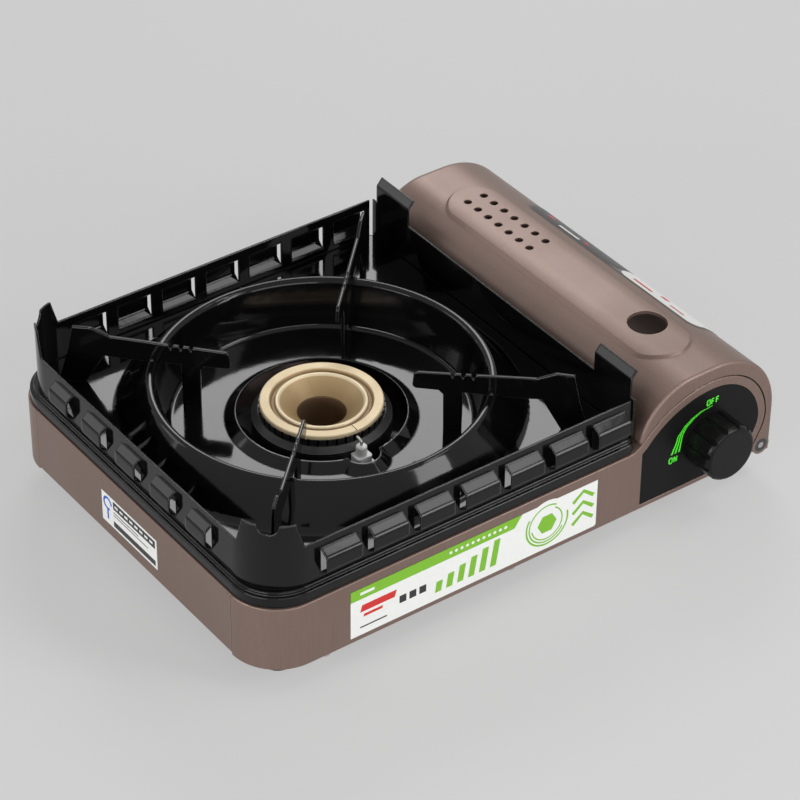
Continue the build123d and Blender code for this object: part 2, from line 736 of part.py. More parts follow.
with BuildPart() as drip_tray:
    extrude(tray_face(skirt_bottom_z, 0, 0), amount=rim_step_z - skirt_bottom_z)
    fillet(drip_tray.faces().sort_by(Axis.Z)[-1].edges(), tray_edge_round)
    extrude(tray_face(skirt_bottom_z, rim_step, 0), amount=tray_floor_z - skirt_bottom_z)
    fillet(drip_tray.faces().sort_by(Axis.Z)[-1].edges(), tray_edge_round)
    rim_under = tray_face(skirt_bottom_z, sheet, sheet)
    extrude(rim_under, amount=rim_step_z - sheet - skirt_bottom_z, mode=Mode.SUBTRACT)
    step_under = tray_face(skirt_bottom_z, rim_step + sheet, sheet)
    extrude(step_under, amount=tray_floor_z - sheet - skirt_bottom_z, mode=Mode.SUBTRACT)
    room_radius = ridge_foot_radius + ridge_lap / 2
    bar_z(burner_x, burner_y, room_radius, skirt_bottom_z, tray_floor_z, mode=Mode.SUBTRACT)
    with BuildSketch(radial(0)):
        with BuildLine():
            half = sheet / 2
            apex_drop = half / sin(apex_half)
            FilletPolyline(
                (collar_hole, dish_z - half),
                (dish_radius + half * tan(inner_slope / 2), dish_z - half),
                (ridge_apex_radius + apex_drop * cos(crest_lean), ridge_apex_z - apex_drop * sin(crest_lean)),
                (ridge_foot_radius - half * tan(outer_slope / 2), tray_floor_z - half),
                (ridge_foot_radius + ridge_lap, tray_floor_z - half),
                radius=[ridge_floor_round, ridge_crest_round - half, ridge_foot_round],
            )
        trace(line_width=sheet)
    revolve(axis=burner_axis)
    for drop, mode in ((0, Mode.ADD), (collar_drop, Mode.SUBTRACT)):
        with BuildSketch(Plane.XY.offset(dish_z - drop)):
            with Locations((burner_x, burner_y)):
                Circle(collar_hole + collar_width)
            with Locations(notch_centre):
                Circle(notch_radius + collar_width)
        extrude(amount=collar_height + collar_spare, taper=collar_slope, mode=mode)
    with BuildSketch(Plane.XY.offset(dish_z - 2 * sheet)):
        with Locations((burner_x, burner_y)):
            Circle(collar_hole)
        with Locations(notch_centre):
            Circle(notch_radius)
    extrude(amount=collar_height + 4 * sheet, mode=Mode.SUBTRACT)
    for end_y, into in ((front_y, 1), (back_y, -1)):
        clear_arch = arch_face(end_y, groove / 2 - seat_gap, arch_join_x, foot_height)
        extrude(clear_arch, amount=arch_flange + seat_gap, dir=(0, into, 0), mode=Mode.SUBTRACT)
    with BuildSketch(Plane.YZ.offset(tray_right_x - sheet)):
        for y in rivet_ys:
            with Locations((y, rivet_z)):
                Circle(rivet_radius)
    extrude(amount=sheet, mode=Mode.SUBTRACT)
drip_tray.part.label = "drip_tray"
export_step(drip_tray.part, "parts/drip_tray.step")

# ---------------------------------------------------------------------------
# Wind guard with its corner ears and louvres, and the heat wall beside the lid
# ---------------------------------------------------------------------------
guard_x = (left_x + guard_inset, guard_end_x)
guard_y = (front_y + guard_inset, back_y - guard_inset)
ear_foot_half = 17.6
long_pitch = (long_last_x - long_first_x) / (long_count - 1)


def guard_band(z, height):
    """Adds a stretch of the guard's wall, open on the right, to the part being built."""
    extrude(rounded_plan(z, guard_x, guard_y, guard_round), amount=height)
    inner_x = (guard_x[0] + sheet, guard_x[1] + sheet)
    inner_y = (guard_y[0] + sheet, guard_y[1] - sheet)
    inner = rounded_plan(z, inner_x, inner_y, guard_round - sheet)
    extrude(inner, amount=height, mode=Mode.SUBTRACT)


def louvre(x, y, outward, length, depth):
    """Adds one louvre, a bridge pressed outward and open at both ends, to the part being built."""
    along = (-outward[1], outward[0])
    start = (x - along[0] * length / 2, y - along[1] * length / 2, louvre_mid_z)
    section = Plane(start, x_dir=(outward[0], outward[1], 0), z_dir=(along[0], along[1], 0))
    wall_middle = -sheet / 2
    face_middle = depth - sheet / 2
    with BuildSketch(section, mode=Mode.PRIVATE) as window:
        with Locations((wall_middle, 0)):
            Rectangle(2 * sheet, 2 * louvre_half)
    extrude(window.sketch, amount=length, mode=Mode.SUBTRACT)
    with BuildSketch(section, mode=Mode.PRIVATE) as bridge:
        with BuildLine():
            FilletPolyline(
                (wall_middle, louvre_half + sheet),
                (wall_middle, louvre_half),
                (face_middle, louvre_face_half),
                (face_middle, -louvre_face_half),
                (wall_middle, -louvre_half),
                (wall_middle, -louvre_half - sheet),
                radius=[sheet, louvre_bend, louvre_bend, sheet],
            )
        trace(line_width=sheet)
    extrude(bridge.sketch, amount=length)


with BuildPart() as guard_ear:
    guard_band(guard_top_z, ear_top_z - guard_top_z)
    across = sqrt(0.5)
    diagonal = Plane(
        (guard_x[0], guard_y[0], 0),
        x_dir=(-across, across, 0),
        z_dir=(across, across, 0),
    )
    with BuildSketch(diagonal):
        with BuildLine():
            dip = ThreePointArc((-ear_dip_half, ear_top_z), (0, ear_dip_z), (ear_dip_half, ear_top_z))
            Polyline(
                dip @ 1,
                (ear_flat_half, ear_top_z),
                (ear_foot_half, guard_top_z),
                (-ear_foot_half, guard_top_z),
                (-ear_flat_half, ear_top_z),
                dip @ 0,
            )
        make_face()
    extrude(amount=2 * guard_round, mode=Mode.INTERSECT)

with BuildPart() as wind_guard:
    guard_band(tray_floor_z, guard_top_z - tray_floor_z)
    add(guard_ear.part)
    mirror(guard_ear.part, about=Plane.XZ.offset(-burner_y))
    for place in range(long_count):
        x = long_first_x + place * long_pitch
        louvre(x, guard_y[0], (0, -1), louvre_length, front_louvre_depth)
        louvre(x, guard_y[1], (0, 1), louvre_length, louvre_depth)
    for place in range(side_count):
        y = burner_y + side_offset + (place - (side_count - 1) / 2) * side_pitch
        louvre(guard_x[0], y, (-1, 0), side_louvre_length, louvre_depth)
wind_guard.part.label = "wind_guard"
export_step(wind_guard.part, "parts/wind_guard.step")

heat_wall_x = (tray_right_x, tray_right_x + heat_wall_sheet)

with BuildPart() as heat_wall:
    block(heat_wall_x, (heat_wall_front_y, heat_wall_back_y), (heat_wall_foot_z, heat_wall_top_z))
    middle_x = tray_right_x + heat_wall_sheet / 2
    for ear_y in (heat_ear_front_y, heat_ear_back_y - heat_ear_length):
        with BuildSketch(upright(ear_y)):
            with BuildLine():
                FilletPolyline(
                    (middle_x, heat_wall_top_z - sheet),
                    (middle_x, heat_ear_fold_z),
                    (middle_x + heat_ear_lean, heat_ear_top_z),
                    radius=heat_ear_bend,
                )
            trace(line_width=heat_wall_sheet)
        extrude(amount=heat_ear_length, dir=(0, 1, 0))
    for y in rivet_ys:
        with BuildSketch(Plane.YZ.offset(tray_right_x)):
            with Locations((y, rivet_z)):
                Circle(rivet_radius)
        extrude(amount=heat_wall_sheet, mode=Mode.SUBTRACT)
heat_wall.part.label = "heat_wall"
export_step(heat_wall.part, "parts/heat_wall.step")

with BuildPart() as tray_rivets:
    for y in rivet_ys:
        for x, radius, length in (
            (tray_right_x - sheet - rivet_head, rivet_head_radius, rivet_head),
            (tray_right_x - sheet, rivet_radius, sheet + heat_wall_sheet),
            (tray_right_x + heat_wall_sheet, rivet_head_radius, rivet_head),
        ):
            with BuildSketch(Plane.YZ.offset(x)):
                with Locations((y, rivet_z)):
                    Circle(radius)
            extrude(amount=length)
tray_rivets.part.label = "tray_rivets"
export_step(tray_rivets.part, "parts/tray_rivets.step")

# ---------------------------------------------------------------------------
# Pot supports: four alike plates that stand in the dish and straddle the ridge
# ---------------------------------------------------------------------------
saddle_round = ridge_crest_round + 0.5
saddle_centre = (crest_centre[0], crest_top_z + running / 2 - saddle_round)
tooth_half = 1.7
tooth_slant = 1.0
support_corner = 2.5
support_tip_drop = 0.3
support_ramp = 10.0
support_dip = 20.5
support_dip_z = support_arm_z + 3.0
support_arm_out = 41.0
support_arm_out_z = support_arm_z + 2.0
support_arm_mid = 36.0
support_arm_mid_z = support_arm_z + 1.3
support_arm_in = 19.0
support_arm_in_z = support_arm_z + 0.6
support_step_in = 26.0
support_step_out = 17.0
support_step_rise = 0.7
support_heel = 3.3
support_heel_rise = 1.4
support_leg_cut = 2.5
support_leg_taper = 0.3

for support_name, support_angle in (
    ("pot_support_front_left", 225),
    ("pot_support_front_right", 315),
    ("pot_support_back_left", 135),
    ("pot_support_back_right", 45),
):
    with BuildPart() as pot_support:
        with BuildSketch(radial(support_angle)) as plate:
            with BuildLine():
                Polyline(
                    (support_outer_radius, support_top_z - support_tip_drop),
                    (support_outer_radius - support_ramp, support_top_z),
                    (support_outer_radius - support_dip, support_dip_z),
                    (support_outer_radius - support_arm_out, support_arm_out_z),
                    (support_inner_radius + support_arm_mid, support_arm_mid_z),
                    (support_inner_radius + support_arm_in, support_arm_in_z),
                    (support_inner_radius + sheet, support_arm_z - support_tip_drop),
                    (support_inner_radius, support_under_z),
                    (support_leg_in - support_leg_cut, support_under_z),
                    (support_leg_in, support_under_z - support_leg_cut),
                    (support_leg_in + support_leg_taper, dish_z),
                    (support_leg_out, dish_z),
                    (support_leg_out + support_leg_taper, support_under_z),
                    (support_outer_radius - support_step_in, support_under_z),
                    (support_outer_radius - support_step_out, support_under_z + support_step_rise),
                    (support_foot_in, tray_floor_z),
                    (support_foot_out, tray_floor_z),
                    (support_outer_radius + support_heel, support_under_z + support_heel_rise),
                    (support_outer_radius, support_top_z - support_tip_drop),
                )
            make_face()
            fillet(plate.vertices().group_by(Axis.Y)[-1], support_corner)
            fillet(plate.vertices().sort_by(Axis.X)[:2], support_corner)
            with Locations(saddle_centre):
                Circle(saddle_round, mode=Mode.SUBTRACT)
            tooth_cut = ((-tooth_half, tooth_slant), (0, -tooth_depth), (tooth_half, tooth_slant))
            for tooth in range(3):
                with Locations((tooth_first + tooth * tooth_pitch, support_arm_in_z)):
                    Polygon(*tooth_cut, align=None, mode=Mode.SUBTRACT)
        extrude(amount=support_sheet / 2, both=True)
    pot_support.part.label = support_name
    export_step(pot_support.part, f"parts/{support_name}.step")

# ---------------------------------------------------------------------------
# Burner: cast bowl, ported head, brass cap, mixing tube and jet
# ---------------------------------------------------------------------------
bowl_shoulder = 8.5
stub_wall = 2.0
stub_reach = 4.0
head_step = 1.5
cap_edge = 0.5
cap_flat = 1.6
cap_dish_z = port_top_z + 0.3
head_taper = 0.5
joint_rise = 1.0
cap_bead_radius = 24.4
cap_groove_radius = 27.2
cap_slot = 0.5
cap_slot_angle = -91.0
cap_sheet = 2.2
outlet_y = regulator_front_y + 5.0
pipe_run = 3.35
jet_back = (burner_y - outlet_y - pipe_run) / sin(radians(-tube_angle))
jet_seat = jet_back - 8.0
jet_front = jet_back - 15.0
jet_tip_radius = 1.5
jet_tip = 3.0
jet_radius = 3.5
jet_collar = 2.5
jet_collar_length = 5.0
tube_mouth = jet_back - 20.0
bell_start = jet_back - 26.0
bell_radius = 12.5
arm_half = 1.5
arm_sheet = 2.0
arm_lap = 3.0

with BuildPart() as burner_bowl:
    with BuildSketch(radial(0)):
        with BuildLine():
            Polyline(
                (centre_hole_radius, bowl_foot_z),
                (bowl_radius - bowl_shoulder, bowl_foot_z),
                (bowl_radius, bowl_foot_z + bowl_shoulder),
                (bowl_radius, bowl_top_z),
                (bowl_radius - bowl_wall, bowl_top_z),
                (bowl_radius - bowl_wall, bowl_foot_z + bowl_shoulder + bowl_wall / 2),
                (bowl_radius - bowl_shoulder - bowl_wall / 2, bowl_foot_z + bowl_wall),
                (centre_tube_radius, bowl_foot_z + bowl_wall),
                (centre_tube_radius, bowl_top_z + joint_rise),
                (centre_hole_radius, bowl_top_z + joint_rise),
                (centre_hole_radius, bowl_foot_z),
            )
        make_face()
    revolve(axis=burner_axis)
    tube_way = (cos(radians(tube_angle)), sin(radians(tube_angle)), 0)
    stub_plane = Plane(
        burner_point(bowl_radius - 2 * bowl_wall, tube_angle, tube_z),
        x_dir=(0, 0, 1),
        z_dir=tube_way,
    )
    with BuildSketch(stub_plane):
        Circle(tube_radius + stub_wall)
    extrude(amount=2 * bowl_wall + stub_reach)
    with BuildSketch(stub_plane):
        Circle(tube_radius)
    extrude(amount=2 * bowl_wall + stub_reach, mode=Mode.SUBTRACT)
burner_bowl.part.label = "burner_bowl"
export_step(burner_bowl.part, "parts/burner_bowl.step")

with BuildPart() as burner_head:
    ring_inner = port_ring_radius - port_ring_wall
    with BuildSketch(radial(0)):
        with BuildLine():
            Polyline(
                (bowl_radius - bowl_wall - joint_rise, bowl_top_z),
                (bowl_radius, bowl_top_z),
                (bowl_radius, bowl_top_z + head_step),
                (port_ring_radius + head_taper, port_base_z),
                (port_ring_radius, port_base_z),
                (port_ring_radius, port_top_z),
                (ring_inner, port_top_z),
                (ring_inner, port_base_z - joint_rise),
                (bowl_radius - bowl_wall - joint_rise, bowl_top_z),
            )
        make_face()
    revolve(axis=burner_axis)
    with BuildSketch(Plane.XY.offset(port_base_z)):
        with Locations((burner_x, burner_y)):
            with PolarLocations(port_ring_radius - port_ring_wall / 2, port_count):
                Rectangle(2 * port_ring_wall, port_width)
    extrude(amount=port_top_z - port_base_z, mode=Mode.SUBTRACT)
burner_head.part.label = "burner_head"
export_step(burner_head.part, "parts/burner_head.step")

with BuildPart() as burner_cap:
    spigot = ring_inner - screw_clearance
    with BuildSketch(radial(0)):
        with BuildLine():
            Polyline(
                (cap_radius, port_top_z),
                (cap_radius, cap_top_z - cap_edge),
                (cap_radius - cap_edge, cap_top_z),
                (cap_groove_radius + cap_flat, cap_top_z),
                (cap_groove_radius, cap_dish_z),
                (cap_bead_radius + cap_flat, cap_dish_z),
                (cap_bead_radius + cap_edge, cap_top_z - cap_edge),
                (cap_bead_radius - cap_edge, cap_top_z - cap_edge),
                (centre_hole_radius, bowl_top_z + 2 * joint_rise),
                (centre_hole_radius, bowl_top_z + joint_rise),
                (centre_tube_radius, bowl_top_z + joint_rise),
                (cap_bead_radius, port_top_z - cap_sheet),
                (spigot, port_top_z - cap_flat),
                (spigot, port_top_z),
                (cap_radius, port_top_z),
            )
        make_face()
    revolve(axis=burner_axis)
    slot_x_dir = (cos(radians(cap_slot_angle)), sin(radians(cap_slot_angle)), 0)
    slot_spot = burner_point((cap_groove_radius + cap_radius) / 2, cap_slot_angle, cap_top_z)
    with Locations(Plane(slot_spot, x_dir=slot_x_dir)):
        Box(cap_radius - cap_groove_radius + 2 * sheet, cap_slot, cap_flat, mode=Mode.SUBTRACT)
burner_cap.part.label = "burner_cap"
export_step(burner_cap.part, "parts/burner_cap.step")

tube_axis = Axis((burner_x, burner_y, tube_z), tube_way)
tube_plane = radial(tube_angle, tube_z)

with BuildPart() as mixing_tube:
    with BuildSketch(tube_plane):
        with BuildLine():
            Polyline(
                (bowl_radius - bowl_wall, tube_radius - tube_wall),
                (bowl_radius - bowl_wall, tube_radius),
                (bell_start, tube_radius),
                (tube_mouth, bell_radius),
                (tube_mouth, bell_radius - tube_wall),
                (bell_start, tube_radius - tube_wall),
                (bowl_radius - bowl_wall, tube_radius - tube_wall),
            )
        make_face()
    revolve(axis=tube_axis)
    with BuildSketch(tube_plane):
        with Locations((jet_seat, jet_radius)):
            Rectangle(jet_collar_length, jet_collar, align=(Align.MIN, Align.MIN))
    revolve(axis=tube_axis)
    with BuildSketch(tube_plane):
        for side in (1, -1):
            with BuildLine():
                Polyline(
                    (tube_mouth - arm_lap, side * (bell_radius - tube_wall - arm_sheet)),
                    (tube_mouth - tube_wall, side * (bell_radius - tube_wall / 2)),
                    (jet_seat + arm_lap + tube_wall, side * (jet_radius + arm_sheet)),
                    (jet_seat + tube_wall, side * (jet_radius + tube_wall / 2)),
                    (tube_mouth - arm_lap, side * (bell_radius - tube_wall - arm_sheet)),
                )
            make_face()
    extrude(amount=arm_half, both=True)
mixing_tube.part.label = "mixing_tube"
export_step(mixing_tube.part, "parts/mixing_tube.step")

with BuildPart() as gas_jet:
    with BuildSketch(tube_plane):
        with BuildLine():
            Polyline(
                (jet_front, 0),
                (jet_front, jet_tip_radius),
                (jet_front + jet_tip, jet_radius),
                (jet_back, jet_radius),
                (jet_back, 0),
                (jet_front, 0),
            )
        make_face()
    revolve(axis=tube_axis)
gas_jet.part.label = "gas_jet"
export_step(gas_jet.part, "parts/gas_jet.step")

# pipe from the regulator's outlet to the jet, level with the mixing tube
pipe_radius = 2.5
pipe_bend = 10.0
outlet_x = cartridge_x - 21.3
jet_end_x, jet_end_y = polar((burner_x, burner_y), jet_back, tube_angle)
pipe_corner_x = jet_end_x + (jet_end_y - outlet_y)

with BuildPart() as gas_pipe:
    with BuildLine():
        route = FilletPolyline(
            (outlet_x, outlet_y, tube_z),
            (pipe_corner_x, outlet_y, tube_z),
            (jet_end_x, jet_end_y, tube_z),
            radius=pipe_bend,
        )
    with BuildSketch(Plane(route @ 0, z_dir=route % 0)):
        Circle(pipe_radius)
    sweep()
gas_pipe.part.label = "gas_pipe"
export_step(gas_pipe.part, "parts/gas_pipe.step")

# ---------------------------------------------------------------------------
# Burner's strap, heat shield, and the heat plate that warms the cartridge
# ---------------------------------------------------------------------------
strap_x = (burner_x - bracket_width / 2, burner_x + bracket_width / 2)
foot_length = 12.0
strap_bend = 1.5
heat_panel_half = 21.5
heat_panel_reach = 15.0
shield_half_x = 52.0
shield_half_y = 55.0
shield_top_z = 20.3
shield_sheet = 0.8
heat_panel_y = (mid_y - heat_panel_half, mid_y + heat_panel_half)
heat_panel_sheet = 1.1
heat_panel_radius = cartridge_radius + seat_gap
heat_panel_top_z = bowl_foot_z - bracket_sheet
heat_panel_left_x = burner_x + heat_panel_reach
heat_panel_end_angle = -60.0
screw_head_radius = 3.4
screw_head = 1.5

with BuildPart() as burner_bracket:
    strap_mid_z = bowl_foot_z - bracket_sheet / 2
    foot_mid_z = floor_top_z + bracket_sheet / 2
    with BuildSketch(Plane.YZ.offset(strap_x[0])):
        with BuildLine():
            FilletPolyline(
                (mid_y - bracket_half - foot_length, foot_mid_z),
                (mid_y - bracket_half, foot_mid_z),
                (mid_y - bracket_half, strap_mid_z),
                (mid_y + bracket_half, strap_mid_z),
                (mid_y + bracket_half, foot_mid_z),
                (mid_y + bracket_half + foot_length, foot_mid_z),
                radius=strap_bend,
            )
        trace(line_width=bracket_sheet)
    extrude(amount=bracket_width)
    with BuildSketch(Plane.XY.offset(floor_top_z)):
        with Locations((burner_x, mid_y)):
            with GridLocations(2 * bracket_screw_half, 2 * bracket_foot_half, 2, 2):
                Circle(bracket_screw_radius + screw_clearance)
    extrude(amount=bracket_sheet, mode=Mode.SUBTRACT)
    bar_z(burner_x, burner_y, centre_hole_radius, floor_top_z, bowl_foot_z, mode=Mode.SUBTRACT)
burner_bracket.part.label = "burner_bracket"
export_step(burner_bracket.part, "parts/burner_bracket.step")

with BuildPart() as bracket_screws:
    foot_top_z = floor_top_z + bracket_sheet
    for x in (burner_x - bracket_screw_half, burner_x + bracket_screw_half):
        for y in (mid_y - bracket_foot_half, mid_y + bracket_foot_half):
            bar_z(x, y, bracket_screw_radius, foot_height, foot_top_z)
            bar_z(x, y, screw_head_radius, foot_top_z, foot_top_z + screw_head)
bracket_screws.part.label = "bracket_screws"
export_step(bracket_screws.part, "parts/bracket_screws.step")

with BuildPart() as heat_shield:
    shield_y = (burner_y - shield_half_y, burner_y + shield_half_y)
    shield_inner = shield_half_x - shield_sheet
    block((burner_x - shield_half_x, burner_x + shield_half_x), shield_y, (floor_top_z, shield_top_z))
    under_x = (burner_x - shield_inner, burner_x + shield_inner)
    block(under_x, shield_y, (floor_top_z, shield_top_z - shield_sheet), mode=Mode.SUBTRACT)
heat_shield.part.label = "heat_shield"
export_step(heat_shield.part, "parts/heat_shield.step")

with BuildPart() as heat_panel:
    bend_angle = degrees(asin((heat_panel_top_z - cartridge_z) / (heat_panel_radius + heat_panel_sheet)))
    bend_x = cartridge_x - (heat_panel_radius + heat_panel_sheet) * cos(radians(bend_angle))
    start_angle = -180 - bend_angle
    swing = heat_panel_end_angle - start_angle
    outer_radius = heat_panel_radius + heat_panel_sheet
    centre = (cartridge_x, cartridge_z)
    with BuildSketch(upright(heat_panel_y[0])):
        with BuildLine():
            saddle = CenterArc(centre, heat_panel_radius, start_angle, swing)
            back = CenterArc(centre, outer_radius, start_angle, swing)
            Line(saddle @ 0, back @ 0)
            Line(saddle @ 1, back @ 1)
        make_face()
        flat_length = bend_x + heat_panel_sheet - heat_panel_left_x
        with Locations((heat_panel_left_x, heat_panel_top_z)):
            Rectangle(flat_length, heat_panel_sheet, align=(Align.MIN, Align.MAX))
    extrude(amount=heat_panel_y[1] - heat_panel_y[0], dir=(0, 1, 0))
heat_panel.part.label = "heat_panel"
export_step(heat_panel.part, "parts/heat_panel.step")

# ---------------------------------------------------------------------------
# Regulator, cartridge seat and the bulkhead that carries both
# ---------------------------------------------------------------------------
regulator_radius = 19.0
regulator_z = 48.0
boss_radius = 7.0
boss_length = 2.5
spindle_bore_end = spindle_back_y + 1.0
outlet_radius = 5.0
lug_half = 24.5
lug_height = 10.0
lug_depth = 6.0
lug_z = 30.0
regulator_screw_half = 20.5
regulator_screw_radius = 2.0
dome_seat_z = 69.0
dome_neck_radius = 9.0
dome_radius = 10.5
dome_step = 2.5
dome_shelf = 3.0
dome_edge_round = 1.0
regulator_edge_round = 2.0
dome_y = (regulator_front_y + bulkhead_y) / 2
seat_flange_radius = 24.0
seat_flange = 3.0
seat_boss_radius = 9.0
seat_boss = 7.0
seat_neck_radius = 12.0
seat_bore_radius = 1.5
guide_half = 2.0
guide_reach = 8.0
magnet_outer = 22.0
magnet_inner = 12.0
magnet_depth = 4.0
seal_outer = 5.0
seal_inner = 3.2
seal_depth = 0.8
bulkhead_top_z = 64.0
bulkhead_foot = 12.0

with BuildPart() as regulator_body:
    bar_y(cartridge_x, regulator_z, regulator_radius, regulator_front_y, bulkhead_y)
    fillet(regulator_body.faces().sort_by(Axis.Y)[0].edges(), regulator_edge_round)
    bar_y(spindle_x, spindle_z, boss_radius, regulator_front_y - boss_length, bulkhead_y)
    block(
        (cartridge_x - lug_half, cartridge_x + lug_half),
        (bulkhead_y - lug_depth, bulkhead_y),
        (lug_z - lug_height / 2, lug_z + lug_height / 2),
    )
    with BuildSketch(Plane.YZ.offset(outlet_x)):
        with Locations((outlet_y, tube_z)):
            Circle(outlet_radius)
    extrude(amount=cartridge_x - outlet_x)
    bar_z(cartridge_x, dome_y, dome_neck_radius, regulator_z, dome_seat_z)
    behind_x = (cartridge_x - lug_half, cartridge_x + lug_half)
    block(behind_x, (bulkhead_y, mid_y), (0, arch_top_z), mode=Mode.SUBTRACT)
    boss_y = regulator_front_y - boss_length
    bar_y(spindle_x, spindle_z, spindle_radius + running, boss_y, spindle_bore_end, mode=Mode.SUBTRACT)
    for side in (-1, 1):
        screw_x = cartridge_x + side * regulator_screw_half
        bar_y(screw_x, lug_z, regulator_screw_radius, bulkhead_y - lug_depth, bulkhead_y, mode=Mode.SUBTRACT)
regulator_body.part.label = "regulator_body"
export_step(regulator_body.part, "parts/regulator_body.step")

with BuildPart() as diaphragm_cover:
    dome_mid_z = dome_seat_z + dome_step
    bar_z(cartridge_x, dome_y, dome_radius, dome_seat_z, dome_mid_z)
    bar_z(cartridge_x, dome_y, dome_radius - dome_shelf, dome_mid_z, dome_mid_z + dome_step)
    fillet(diaphragm_cover.faces().sort_by(Axis.Z)[-1].edges(), dome_edge_round)
diaphragm_cover.part.label = "diaphragm_cover"
export_step(diaphragm_cover.part, "parts/diaphragm_cover.step")

with BuildPart() as cartridge_seat:
    bar_y(cartridge_x, cartridge_z, seat_flange_radius, seat_y, seat_y + seat_flange)
    bar_y(cartridge_x, cartridge_z, seat_boss_radius, seat_y, seat_y + seat_boss)
    bar_y(cartridge_x, cartridge_z, seat_neck_radius, bulkhead_y, seat_y)
    guide_z = cartridge_z + magnet_outer + screw_clearance
    guide_x = (cartridge_x - guide_half, cartridge_x + guide_half)
    block(guide_x, (seat_y, seat_y + guide_reach), (guide_z, cartridge_z + seat_flange_radius))
    bar_y(cartridge_x, cartridge_z, seat_bore_radius, bulkhead_y, seat_y + seat_boss, mode=Mode.SUBTRACT)
cartridge_seat.part.label = "cartridge_seat"
export_step(cartridge_seat.part, "parts/cartridge_seat.step")

with BuildPart() as magnet_ring:
    magnet_y = seat_y + seat_flange
    bar_y(cartridge_x, cartridge_z, magnet_outer, magnet_y, magnet_y + magnet_depth)
    bar_y(cartridge_x, cartridge_z, magnet_inner, magnet_y, magnet_y + magnet_depth, mode=Mode.SUBTRACT)
magnet_ring.part.label = "magnet_ring"
export_step(magnet_ring.part, "parts/magnet_ring.step")

with BuildPart() as nozzle_seal:
    seal_y = seat_y + seat_boss
    bar_y(cartridge_x, cartridge_z, seal_outer, seal_y, seal_y + seal_depth)
    bar_y(cartridge_x, cartridge_z, seal_inner, seal_y, seal_y + seal_depth, mode=Mode.SUBTRACT)
nozzle_seal.part.label = "nozzle_seal"
export_step(nozzle_seal.part, "parts/nozzle_seal.step")

with BuildPart() as regulator_bracket:
    bulkhead_x = (bay_left_x + sheet, bay_right_x - sheet)
    block(bulkhead_x, (bulkhead_y, seat_y), (floor_top_z, bulkhead_top_z))
    foot_x = (cartridge_x - lug_half, cartridge_x + lug_half)
    block(foot_x, (bulkhead_y - bulkhead_foot, seat_y), (floor_top_z, floor_top_z + bulkhead_sheet))
    bar_y(cartridge_x, cartridge_z, seat_neck_radius, bulkhead_y, seat_y, mode=Mode.SUBTRACT)
    for side in (-1, 1):
        screw_x = cartridge_x + side * regulator_screw_half
        bar_y(screw_x, lug_z, regulator_screw_radius, bulkhead_y, seat_y, mode=Mode.SUBTRACT)
regulator_bracket.part.label = "regulator_bracket"
export_step(regulator_bracket.part, "parts/regulator_bracket.step")

with BuildPart() as regulator_screws:
    for side in (-1, 1):
        screw_x = cartridge_x + side * regulator_screw_half
        head_y = bulkhead_y - lug_depth
        bar_y(screw_x, lug_z, regulator_screw_radius, head_y, seat_y)
        bar_y(screw_x, lug_z, screw_head_radius, head_y - screw_head, head_y)
regulator_screws.part.label = "regulator_screws"
export_step(regulator_screws.part, "parts/regulator_screws.step")

# ---------------------------------------------------------------------------
# Cartridge bay: partition and the two saddles that the cartridge lies on
# ---------------------------------------------------------------------------
partition_top_z = 60.0
partition_foot = 7.0
partition_y = (seat_y, back_y - sheet - lip_width - seat_gap)
slot_clearance = 0.5
cradle_sheet = 1.0
cradle_length = 30.0
cradle_half_angle = 45.0
cradle_front_y = front_y + 60.0
cradle_rear_y = back_y - 64.0

with BuildPart() as partition:
    block((bay_left_x, bay_left_x + sheet), partition_y, (floor_top_z, partition_top_z))
    block((bay_left_x - partition_foot, bay_left_x), partition_y, (floor_top_z, floor_top_z + sheet))
    slot_z = (heat_panel_top_z - heat_panel_sheet - slot_clearance, heat_panel_top_z + slot_clearance)
    slot_y = (heat_panel_y[0] - slot_clearance, heat_panel_y[1] + slot_clearance)
    block((bay_left_x, bay_left_x + sheet), slot_y, slot_z, mode=Mode.SUBTRACT)
partition.part.label = "partition"
export_step(partition.part, "parts/partition.step")


def cradle(y):
    """Adds a saddle for the cartridge, on two legs, to the part being built."""
    centre = (cartridge_x, cartridge_z)
    under_radius = heat_panel_radius + cradle_sheet
    first = -90 - cradle_half_angle
    with BuildSketch(upright(y), mode=Mode.PRIVATE) as section:
        with BuildLine():
            saddle = CenterArc(centre, heat_panel_radius, first, 2 * cradle_half_angle)
            back = CenterArc(centre, under_radius, first, 2 * cradle_half_angle)
            Line(saddle @ 0, back @ 0)
            Line(saddle @ 1, back @ 1)
        make_face()
        leg_top_z = cartridge_z - under_radius * cos(radians(cradle_half_angle))
        leg_x = under_radius * sin(radians(cradle_half_angle))
        leg_length = leg_top_z - floor_top_z + cradle_sheet / 2
        for side in (-1, 1):
            with Locations((cartridge_x + side * (leg_x - cradle_sheet / 2), floor_top_z)):
                Rectangle(cradle_sheet, leg_length, align=(Align.CENTER, Align.MIN))
    extrude(section.sketch, amount=cradle_length, dir=(0, 1, 0))


with BuildPart() as cradle_front:
    cradle(cradle_front_y)
cradle_front.part.label = "cradle_front"
export_step(cradle_front.part, "parts/cradle_front.step")

with BuildPart() as cradle_rear:
    cradle(cradle_rear_y)
cradle_rear.part.label = "cradle_rear"
export_step(cradle_rear.part, "parts/cradle_rear.step")

